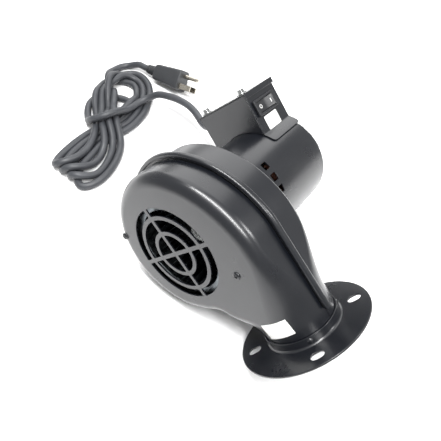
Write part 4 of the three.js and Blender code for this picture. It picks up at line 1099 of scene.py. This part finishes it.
class FAN_OT_box(bpy.types.Operator):
    """Builds the electrical box: bent frame with feet, arched front, lipped cover and its screws"""
    bl_idname = "fan.box"
    bl_label = "Electrical box"

    def execute(self, context):
        right = raw_object("box_right_side", side_strip(BOX_RIGHT, 1))
        sheet_of(right, BOX_T, 0.0)
        carve(right, [slab((BOX_RIGHT - 5, SWITCH_Y - 13.3, SWITCH_Z - 5.8),
                           (BOX_RIGHT + 5, SWITCH_Y + 13.3, SWITCH_Z + 5.8))])
        soften(right, 0.25, 50)
        left = raw_object("box_left_side", side_strip(BOX_LEFT, -1))
        sheet_of(left, BOX_T, 0.0)
        hole = bmesh.new()
        lathe(hole, [(0, -6), (7.3, -6), (7.3, 6), (0, 6)], 40,
              lambda y, z, x: (BOX_LEFT + x, RELIEF_Y + y, RELIEF_Z + z), closed=False)
        carve(left, [raw_object("tool", hole)])
        soften(left, 0.25, 50)
        rear = bmesh.new()
        arch = [(x, max(lowest_wall(x), 0) + 0.3) for x in np.linspace(BOX_RIGHT - 1.2, BOX_LEFT + 1.2, 40)]
        outline = [(BOX_LEFT + 1.2, BOX_TOP - 0.2), (BOX_RIGHT - 1.2, BOX_TOP - 0.2), *arch]
        plate(rear, outline, [], BOX_REAR - BOX_T, BOX_REAR, 0.2, lambda x, z, y: (x, y, z))
        frame_parts = [right, left, raw_object("box_rear_side", rear)]
        joined = bmesh.new()
        for part in frame_parts:
            joined.from_mesh(part.data)
            bpy.data.objects.remove(part)
        mesh = bpy.data.meshes.new("box_bent_frame")
        joined.to_mesh(mesh)
        joined.free()
        bent = bpy.data.objects.new("box_bent_frame", mesh)
        context.scene.collection.objects.link(bent)
        finish_piece(bent, "enamel", ["box_frame"])

        front = bmesh.new()
        low = lowest_wall(BOX_RIGHT) + BOX_T + 3 * GAP
        half = math.sqrt((MOTOR_R + GAP) ** 2 - (low - WHEEL_Z) ** 2)
        start = math.degrees(math.asin((low - WHEEL_Z) / (MOTOR_R + GAP)))
        outline = [(BOX_RIGHT, low)] if BOX_RIGHT - WHEEL_X > half + 0.1 else []
        outline += arc(WHEEL_X, WHEEL_Z, MOTOR_R + GAP, start, 180 - start, 48)
        outline += [(BOX_LEFT, low), (BOX_LEFT, BOX_TOP), (BOX_RIGHT, BOX_TOP)]
        plate(front, outline, [], BOX_FRONT, BOX_FRONT + BOX_T, 0.25, lambda x, z, y: (x, y, z))
        fold = [(BOX_LEFT + 1.4, BOX_FRONT + 0.5), (BOX_RIGHT - 1.4, BOX_FRONT + 0.5),
                (BOX_RIGHT - 1.4, BOX_FRONT + 9), (BOX_LEFT + 1.4, BOX_FRONT + 9)]
        plate(front, fold, [circle(x, y, 2.3) for x, y in COVER_SCREWS], BOX_TOP - BOX_T, BOX_TOP, 0.2,
              plain)
        finish_piece(raw_object("box_front_sheet", front), "enamel", ["box_front"])

        out = GAP + BOX_T
        lid = bmesh.new()
        x0, x1 = BOX_LEFT - out, BOX_RIGHT + out
        y0, y1 = BOX_FRONT - 0.1, BOX_REAR + out
        z0, z1 = BOX_TOP - LIP, BOX_TOP + out
        low_rim = [(x0, y0, z0), (x0, y1, z0), (x1, y1, z0), (x1, y0, z0)]
        high_rim = [(x, y, z1) for x, y, _ in low_rim]
        grid(lid, [low_rim, high_rim])
        lid.faces.new([lid.verts.new(p) for p in high_rim])
        cover = raw_object("box_lid", lid)
        middle = Vector(((x0 + x1) / 2, (y0 + y1) / 2, z0))
        face = cover.data.polygons[0]
        if (face.center - middle).dot(face.normal) < 0:
            cover.data.flip_normals()
        sheet_of(cover, BOX_T)
        tools = []
        for x, y in COVER_SCREWS:
            tool = bmesh.new()
            lathe(tool, [(0, -5), (2.3, -5), (2.3, 5), (0, 5)], 24,
                  lambda a, b, h, x=x, y=y: (x + a, y + b, BOX_TOP + h), closed=False)
            tools.append(raw_object("tool", tool))
        carve(cover, tools)
        soften(cover, 0.45, 50, 3)
        finish_piece(cover, "enamel", ["box_cover"])

        screw = bmesh.new()
        hexagon = rounded([polar(3.3, 60 * k) for k in range(6)], 0.25, 2)
        lathe(screw, [(0, 0), (4.4, 0), (4.6, 0.25), (4.5, 0.8), (4.1, 1.05), (2.6, 1.05)], 36, plain,
              closed=False)
        rows = [[(x * s, y * s, z) for x, y in hexagon]
                for s, z in ((1.08, 0.95), (1, 1.25), (1, 3.7), (0.9, 4.2), (0.55, 4.2), (0.4, 3.8),
                             (0.02, 3.7))]
        grid(screw, rows, around=True)
        lathe(screw, [(0, 0.4), (2, 0.4), (2, -7.2), (1.4, -7.6), (0, -7.6)], 20, plain, closed=False)
        head = raw_object("hex_screw", screw)
        carve(head, [slab((-5, -0.45, 3.3), (5, 0.45, 6))])
        points = [(x, y, BOX_TOP + BOX_T + 2 * GAP) for x, y in COVER_SCREWS]
        screws = copies("cover_hex_screws", head, "zinc", points, turn=0.5)
        finish_piece(screws, "zinc", ["cover_screw_1", "cover_screw_2"])
        return {"FINISHED"}


class FAN_OT_face_screws(bpy.types.Operator):
    """Builds the two cross-recess screws in the housing's front face"""
    bl_idname = "fan.face_screws"
    bl_label = "Face screws"

    def execute(self, context):
        bm = bmesh.new()
        profile = [(0, 1.5), (1.2, 1.45), (2.2, 1.2), (2.85, 0.7), (3.1, 0.15), (3.05, 0), (1.5, 0),
                   (1.5, -5.6), (0.9, -6.6), (0, -6.8)]
        lathe(bm, profile, 28, lambda x, z, y: (x, -y, z), closed=False)
        head = raw_object("pan_screw", bm)
        carve(head, [slab((-1.8, -2.5, -0.42), (1.8, -0.5, 0.42)),
                     slab((-0.42, -2.5, -1.8), (0.42, -0.5, 1.8))])
        points = [(WHEEL_X + x, -HALF_DEPTH - 0.05, WHEEL_Z + z) for x, z in FACE_SCREWS]
        screws = copies("face_pan_screws", head, "enamel", points)
        finish_piece(screws, "enamel", ["housing_screw_1", "housing_screw_2"])
        return {"FINISHED"}


class FAN_OT_switch(bpy.types.Operator):
    """Builds the rocker switch: bezel with its well, dished rocker and printed on and off marks"""
    bl_idname = "fan.switch"
    bl_label = "Rocker switch"

    def execute(self, context):
        face = BOX_RIGHT + GAP

        def out_of_box(y, z, x):
            return (x, SWITCH_Y + y, SWITCH_Z + z)

        def block_loop(long, wide, r):
            corners = [(-long / 2, -wide / 2), (long / 2, -wide / 2), (long / 2, wide / 2),
                       (-long / 2, wide / 2)]
            return rounded(corners, r, 5)

        bm = bmesh.new()
        outline = block_loop(BEZEL_LONG, BEZEL_WIDE, 1.6)
        well = block_loop(ROCKER_LONG + 1.0, ROCKER_WIDE + 0.5, 0.8)
        plate(bm, outline, [well], face, face + BEZEL_T, 0.45, out_of_box)
        cup = block_loop(BEZEL_LONG - 4, BEZEL_WIDE - 3, 0.8)
        rows = [[out_of_box(y, z, x) for y, z in loop] for loop, x in
                ((cup, face + 0.3), (cup, face - 14.6), (grown(cup, -3), face - 15))]
        grid(bm, rows, around=True)
        bm.faces.new([bm.verts.new(p) for p in rows[-1]])
        rows = [[out_of_box(y, z, x) for y, z in well] for x in (face + 1.0, face - 7)]
        grid(bm, rows, around=True)
        bm.faces.new([bm.verts.new(p) for p in rows[-1]])
        finish_piece(raw_object("switch_bezel", bm), "nylon", ["switch_body"])

        tilt = (Matrix.Translation((BOX_RIGHT + GAP - 1.5, SWITCH_Y, SWITCH_Z)) @
                Matrix.Rotation(math.radians(-ROCKER_TILT), 4, "Z"))
        rocker = bmesh.new()
        half, wide = ROCKER_LONG / 2, ROCKER_WIDE / 2
        rows = []
        for y in np.linspace(-half, half, 25):
            s = abs(y) / half
            top = 2.35 + 1.55 * s ** 1.4
            ends = min((half - abs(y)) / 0.8, 1)
            top -= 0.5 * (1 - ends) ** 2
            bottom = -2.6 if s < 0.55 else -2.6 + 3.0 * (s - 0.55) / 0.45
            profile = [(bottom, -wide), (top - 0.5, -wide), (top - 0.12, -wide + 0.18),
                       (top, -wide + 0.5), (top - 0.18, 0), (top, wide - 0.5),
                       (top - 0.12, wide - 0.18), (top - 0.5, wide), (bottom, wide)]
            rows.append([(x, y, z) for x, z in profile])
        grid(rocker, rows, around=True)
        for row in (rows[0], rows[-1]):
            rocker.faces.new([rocker.verts.new(p) for p in row])
        key = raw_object("switch_key", rocker)
        key.data.transform(tilt)
        finish_piece(key, "nylon", ["switch_rocker"], "rocker")

        marks = bmesh.new()

        def on_rocker(y, z, lift):
            s = min(abs(y) / half, 1)
            return (2.35 + 1.55 * s ** 1.4 - 0.18 * (1 - (z / (wide - 0.5)) ** 2) + lift, y, z)

        bar = [(6.2, -1.7), (7.0, -1.7), (7.0, 1.7), (6.2, 1.7)]
        plate(marks, rounded(bar, 0.2), [], 0.0, 0.08, 0.03, on_rocker)
        rings = [[on_rocker(-6.4 + polar(r, a)[0], polar(r, a)[1], lift) for a in range(0, 360, 15)]
                 for r, lift in ((1.7, -0.1), (1.7, 0.08), (1.15, 0.08), (1.15, -0.1))]
        grid(marks, rings, around=True, across=True)
        print_marks = raw_object("switch_marks", marks)
        print_marks.data.transform(tilt)
        finish_piece(print_marks, "ink", [], "rocker")
        return {"FINISHED"}


class FAN_OT_labels(bpy.types.Operator):
    """Builds the two plain white stickers, on the box's side and round the outlet's neck"""
    bl_idname = "fan.labels"
    bl_label = "Labels"

    def execute(self, context):
        bm = bmesh.new()
        side = rounded([(101.2, 126.4), (119.8, 126.4), (119.8, 138.4), (101.2, 138.4)], 1.0, 4)
        face = BOX_RIGHT + 0.06
        plate(bm, side, [], face, face + 0.3, 0.05, lambda y, z, x: (x, y, z))
        finish_piece(raw_object("side_sticker", bm), "label", ["box_label"])

        # the sticker follows the neck: each of its points is dropped on the housing's front
        bm = bmesh.new()
        turn = math.radians(-7)
        outer = housing_rows(-1, 0.12, np.linspace(0, 90, 31))
        cloud = np.array([p for row in outer for p in row])
        rows = []
        for v in np.linspace(-6.25, 6.25, 13):
            row = []
            for u in np.linspace(-11, 11, 23):
                x = 3.6 + u * math.cos(turn) + v * math.sin(turn)
                z = 19.6 - u * math.sin(turn) + v * math.cos(turn)
                away = (cloud[:, 0] - x) ** 2 + (cloud[:, 2] - z) ** 2
                near = np.argsort(away)[:6]
                weight = 1 / (away[near] + 0.05)
                row.append((x, float((cloud[near, 1] * weight).sum() / weight.sum()) - 0.25, z))
            rows.append(row)
        grid(bm, rows)
        sticker = raw_object("neck_sticker", bm)
        if sticker.data.polygons[0].normal.y > 0:
            sticker.data.flip_normals()
        sheet_of(sticker, 0.3)
        finish_piece(sticker, "label", ["neck_label"])
        return {"FINISHED"}


# ---------------------------------------------------------------- cord and plug
def stiffened(line, passes=2):
    """The line with each sudden change of bend spread along it; even curves stay as they are."""
    p = line.copy()
    for _ in range(passes):
        p[2:-2] -= (p[:-4] - 4 * p[1:-3] + 6 * p[2:-2] - 4 * p[3:-1] + p[4:]) / 18
    return p


def settle(points, radius, step, rounds, held):
    """Lets the cord's turns push each other apart, rest on the table and on each other, and keep
    near the way they were laid; its stiffness spreads each bend. The first `held` points stay."""
    p = points.copy()
    laid = points.copy()
    count = len(p)
    index = np.arange(count)
    apart = np.abs(index[:, None] - index[None, :]) * step > radius * NEIGHBOURS
    free = np.clip((index - held) / LET_GO, 0, 1)[:, None] * (index < count - PLUG_HELD)[:, None]
    sharpest = step * step / TIGHTEST_BEND
    reach = radius * TOUCHING
    for _ in range(rounds):
        offsets = p[:, None, :] - p[None, :, :]
        distance = np.linalg.norm(offsets, axis=2) + 1e-6
        close = apart & (distance < reach)
        share = np.where(close, (reach - distance) * 0.5 / distance, 0)
        push = (share[:, :, None] * offsets).sum(1) / np.maximum(close.sum(1), 1)[:, None]
        # the push is shared with the neighbours along the cord, as a stiff jacket does
        for _ in range(3):
            push[1:-1] = (push[:-2] + 2 * push[1:-1] + push[2:]) / 4
        bend = stiffened(p) - p
        turn_in = p[:-2] - 2 * p[1:-1] + p[2:]
        sharp = np.linalg.norm(turn_in, axis=1)[:, None] + 1e-6
        bend[1:-1] += turn_in * EASE_SHARE * np.clip(1 - sharpest / sharp, 0, 1)
        hold = (laid - p) * HOLD_SHARE
        weight = np.zeros_like(p)
        weight[:, 2] = -WEIGHT_STEP
        p = p + free * (push * PUSH_SHARE + bend + hold + weight)
        p[:, 2] = np.maximum(p[:, 2], radius)
    return p


def cord_route(relief_end):
    """The cord's centreline in mm, from the strain relief to the plug's sleeve."""
    radius = bpy.context.scene.fan_sizes.cord_diameter / MM / 2
    plug_in = Vector(PLUG_AT) + Vector(PLUG_AXIS).normalized() * IN_SLEEVE
    knots = [*relief_end, *CORD_LEAD, *CORD_TURNS, tuple(PLUG_AT), tuple(plug_in)]
    line = respaced(catmull(knots, SPAN_POINTS), step=CORD_STEP)
    line = respaced(stiffened(line, SMOOTHING), step=CORD_STEP)
    lead = respaced(catmull([*relief_end, *CORD_LEAD], SPAN_POINTS), step=CORD_STEP)
    return settle(line, radius, CORD_STEP, SETTLE_ROUNDS, len(lead) - 4)


def relief_points():
    """Points of the strain relief's axis, table frame, mm: in the wall, and past its tip."""
    to_table = TABLE.inverted() @ FAN
    return [tuple(to_table @ Vector((BOX_LEFT + reach, RELIEF_Y, RELIEF_Z)))
            for reach in (BOX_T + 3, -5, -11, -17, BOX_T - RELIEF_LENGTH)]


class FAN_OT_cord(bpy.types.Operator):
    """Builds the cord: out of the strain relief, along the table into a loose hank, to the plug"""
    bl_idname = "fan.cord"
    bl_label = "Cord and strain relief"

    def execute(self, context):
        sizes = context.scene.fan_sizes
        line = cord_route(relief_points()) * MM
        curve = bpy.data.curves.new("power_cord", "CURVE")
        curve.dimensions = "3D"
        curve.bevel_depth = sizes.cord_diameter / 2
        curve.bevel_resolution = 5
        curve.resolution_u = 2
        curve.use_fill_caps = True
        spline = curve.splines.new("NURBS")
        spline.points.add(len(line) - 1)
        for point, at in zip(spline.points, line):
            point.co = (*at, 1)
        spline.order_u = 4
        spline.use_endpoint_u = True
        cord = bpy.data.objects.new("power_cord", curve)
        context.scene.collection.objects.link(cord)
        curve.materials.append(finish_named("jacket"))
        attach(cord, "housing")
        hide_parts("cord_lead", "cord_tail", "cord_hank")

        radius = sizes.cord_diameter / MM / 2
        profile = [(radius + 0.35, -5), (6.4, -5), (7, -3), (7, 1.3), (8.2, 1.35), (8.5, 1.7), (8.5, 3.6),
                   (8.2, 4.0), (6.9, 4.2)]
        ribs = 6
        for k in range(ribs):
            base = 5.0 + k * 3.0
            r = 6.8 - k * 0.32
            profile += [(r, base), (r - 0.1, base + 1.5), (r - 0.8, base + 1.8), (r - 0.85, base + 2.6)]
        tip = RELIEF_LENGTH
        profile += [(radius + 1.1, tip - 0.6), (radius + 0.9, tip), (radius + 0.35, tip)]
        bm = bmesh.new()
        lathe(bm, profile, 40, lambda y, z, x: (BOX_LEFT + BOX_T - x, RELIEF_Y + y, RELIEF_Z + z))
        finish_piece(raw_object("relief_bushing", bm), "nylon", ["strain_relief"])
        return {"FINISHED"}


def plug_section(z, low, high, wide, narrow):
    """Rounded section of the plug's body, wide over the blades and narrow over the ground pin."""
    corners = [(-wide, low), (wide, low), (wide, low + 9), (narrow, high), (-narrow, high),
               (-wide, low + 9)]
    return [(x, y, z) for x, y in rounded(corners, 3.2, 5)]


class FAN_OT_plug(bpy.types.Operator):
    """Builds the moulded body of the three-pin plug with its ribbed sleeve, shaped round its blades and ground pin
    """
    bl_idname = "fan.plug"
    bl_label = "Plug"

    def execute(self, context):
        start, end = SLEEVE_LENGTH, SLEEVE_LENGTH + PLUG_LENGTH
        bm = bmesh.new()
        rows = [plug_section(*args) for args in (
            (start - 1.2, -5.5, 5.5, 5, 4.4), (start, -7.6, 7.6, 7.2, 5.9),
            (start + 1.0, -8.8, 8.9, 8.2, 6.8), (start + 4, -9.3, 9.5, 8.7, 7.2),
            (start + 14, -9.9, 10.2, 9.4, 7.9), (end - 16, -10.6, 11.0, 10.2, 8.5),
            (end - 8, -11, 11.6, 10.6, 8.8), (end - 2.6, -11.2, 12, 10.8, 9),
            (end - 1.0, -11.1, 11.9, 10.7, 8.9), (end - 0.3, -10.8, 11.6, 10.4, 8.6),
            (end, -10.3, 11.1, 9.9, 8.1))]
        grid(bm, rows, around=True)
        for row in (rows[0], rows[-1]):
            bm.faces.new([bm.verts.new(p) for p in row])
        # sleeve with four flutes that let it bend
        profile = [(0, 0), (4.9, 0), (5.2, 0.4)]
        for k in range(4):
            z = 1.2 + k * 3.1
            r = 5.3 + k * 0.32
            profile += [(r, z), (r + 0.15, z + 0.3), (r + 0.2, z + 1.5), (r, z + 1.8),
                        (r - 0.75, z + 2.0), (r - 0.75, z + 2.9)]
        profile += [(6.4, start - 0.2), (6.4, start + 1), (0, start + 1)]
        lathe(bm, profile, 40, plain, closed=False)
        finish_piece(raw_object("cord_plug", bm), "plug", ["plug_body"], place=plug_frame())
        return {"FINISHED"}


class FAN_OT_inner_finishes(bpy.types.Operator):
    """Gives the pieces inside the motor, box and wheel their materials"""
    bl_idname = "fan.inner_finishes"
    bl_label = "Inner pieces"

    def execute(self, context):
        kinds = {
            "zinc": ["wheel_hub", "motor_shaft", "through_bolt_1", "through_bolt_2", "through_bolt_3",
                     "motor_mount_screw_1", "motor_mount_screw_2", "motor_mount_screw_3"],
            "galvanised": ["motor_end_plate", "rear_bearing_seat"],
            "laminations": ["stator_core", "rotor_core", "hub_set_screw"],
            "copper": ["winding_front", "winding_rear"],
            "bronze": ["bearing_front", "bearing_rear"],
            "nylon": ["thrust_washer_front", "thrust_washer_rear"],
            "pins": ["switch_terminal_1", "switch_terminal_2", "plug_blade_hot", "plug_blade_neutral",
                     "plug_ground_pin"],
        }
        for finish, names in kinds.items():
            for name in names:
                slots = frame["nodes"][name].data.materials
                slots.clear()
                slots.append(finish_named(finish))
        return {"FINISHED"}


class FAN_OT_stage(bpy.types.Operator):
    """Builds the floor, the soft studio lights and the camera"""
    bl_idname = "fan.stage"
    bl_label = "Stage"

    def execute(self, context):
        scene = context.scene
        camera = bpy.data.objects.new("camera", bpy.data.cameras.new("camera"))
        scene.collection.objects.link(camera)
        forward = Vector(CAMERA_FORWARD).normalized()
        up = Vector(CAMERA_UP)
        up = (up - forward * up.dot(forward)).normalized()
        right = forward.cross(up)
        camera.matrix_world = (Matrix.Translation(CAMERA_AT) @
                               Matrix((right, up, -forward)).transposed().to_4x4())
        camera.data.lens = CAMERA_LENS
        camera.data.sensor_width = 36
        camera.data.clip_start = 0.01
        scene.camera = camera
        scene.view_settings.view_transform = "Standard"

        bm = bmesh.new()
        bmesh.ops.create_grid(bm, x_segments=1, y_segments=1, size=4)
        floor = raw_object("floor", bm)
        material, tree = new_material("pale floor")
        surface(tree, Base_Color=(0.95, 0.95, 0.95, 1), Roughness=0.9, Specular_IOR_Level=0.1)
        floor.data.materials.append(material)

        world = bpy.data.worlds.new("studio")
        scene.world = world
        world.use_nodes = True
        world.node_tree.nodes.clear()
        sky = add(world.node_tree, "ShaderNodeBackground", Color=(1, 1, 1, 1), Strength=0.55)
        add(world.node_tree, "ShaderNodeOutputWorld", Surface=sky.outputs[0])
        # the strip draws the long thin glint along the pressed edge and the seam
        for name, at, aim, size, power in (
                ("strip", (0.10, -0.19, 0.95), (0.13, -0.06, 0.05), (1.15, 0.1), 17),
                ("rim", (0.75, 0.5, 0.95), (0, 0, 0.05), (0.3, 0.3), 6),
                ("fill", (-0.7, 0.9, 0.9), (0, 0, 0.05), (1.4, 1.4), 12)):
            lamp = bpy.data.objects.new(name, bpy.data.lights.new(name, "AREA"))
            scene.collection.objects.link(lamp)
            lamp.data.shape = "RECTANGLE"
            lamp.data.size, lamp.data.size_y = size
            lamp.data.energy = power
            lamp.location = at
            lamp.rotation_mode = "QUATERNION"
            lamp.rotation_quaternion = (Vector(aim) - Vector(at)).to_track_quat("-Z", "Y")
        return {"FINISHED"}


# ---------------------------------------------------------------- add-on
STEPS = (FAN_OT_stage, FAN_OT_plug, FAN_OT_cord, FAN_OT_housing, FAN_OT_flange, FAN_OT_face_screws,
         FAN_OT_wheel, FAN_OT_motor, FAN_OT_box, FAN_OT_switch, FAN_OT_labels, FAN_OT_inner_finishes)


class FAN_PT_panel(bpy.types.Panel):
    """Sizes, colours and steps of the fan"""
    bl_idname = "FAN_PT_panel"
    bl_label = "Combustion fan"
    bl_space_type = "VIEW_3D"
    bl_region_type = "UI"
    bl_category = "Fan"

    def draw(self, context):
        for group in (context.scene.fan_sizes, context.scene.fan_colours):
            column = self.layout.column(align=True)
            for name in group.bl_rna.properties.keys():
                if name not in ("rna_type", "name"):
                    column.prop(group, name)
        for step in STEPS:
            self.layout.operator(step.bl_idname)


CLASSES = (FanSizes, FanColours, *STEPS, FAN_PT_panel)


def register():
    for cls in CLASSES:
        bpy.utils.register_class(cls)
    bpy.types.Scene.fan_sizes = bpy.props.PointerProperty(type=FanSizes)
    bpy.types.Scene.fan_colours = bpy.props.PointerProperty(type=FanColours)


def unregister():
    del bpy.types.Scene.fan_colours
    del bpy.types.Scene.fan_sizes
    for cls in reversed(CLASSES):
        bpy.utils.unregister_class(cls)


def main():
    register()
    for step in STEPS:
        group, name = step.bl_idname.split(".")
        getattr(getattr(bpy.ops, group), name)()


if __name__ == "__main__":
    main()
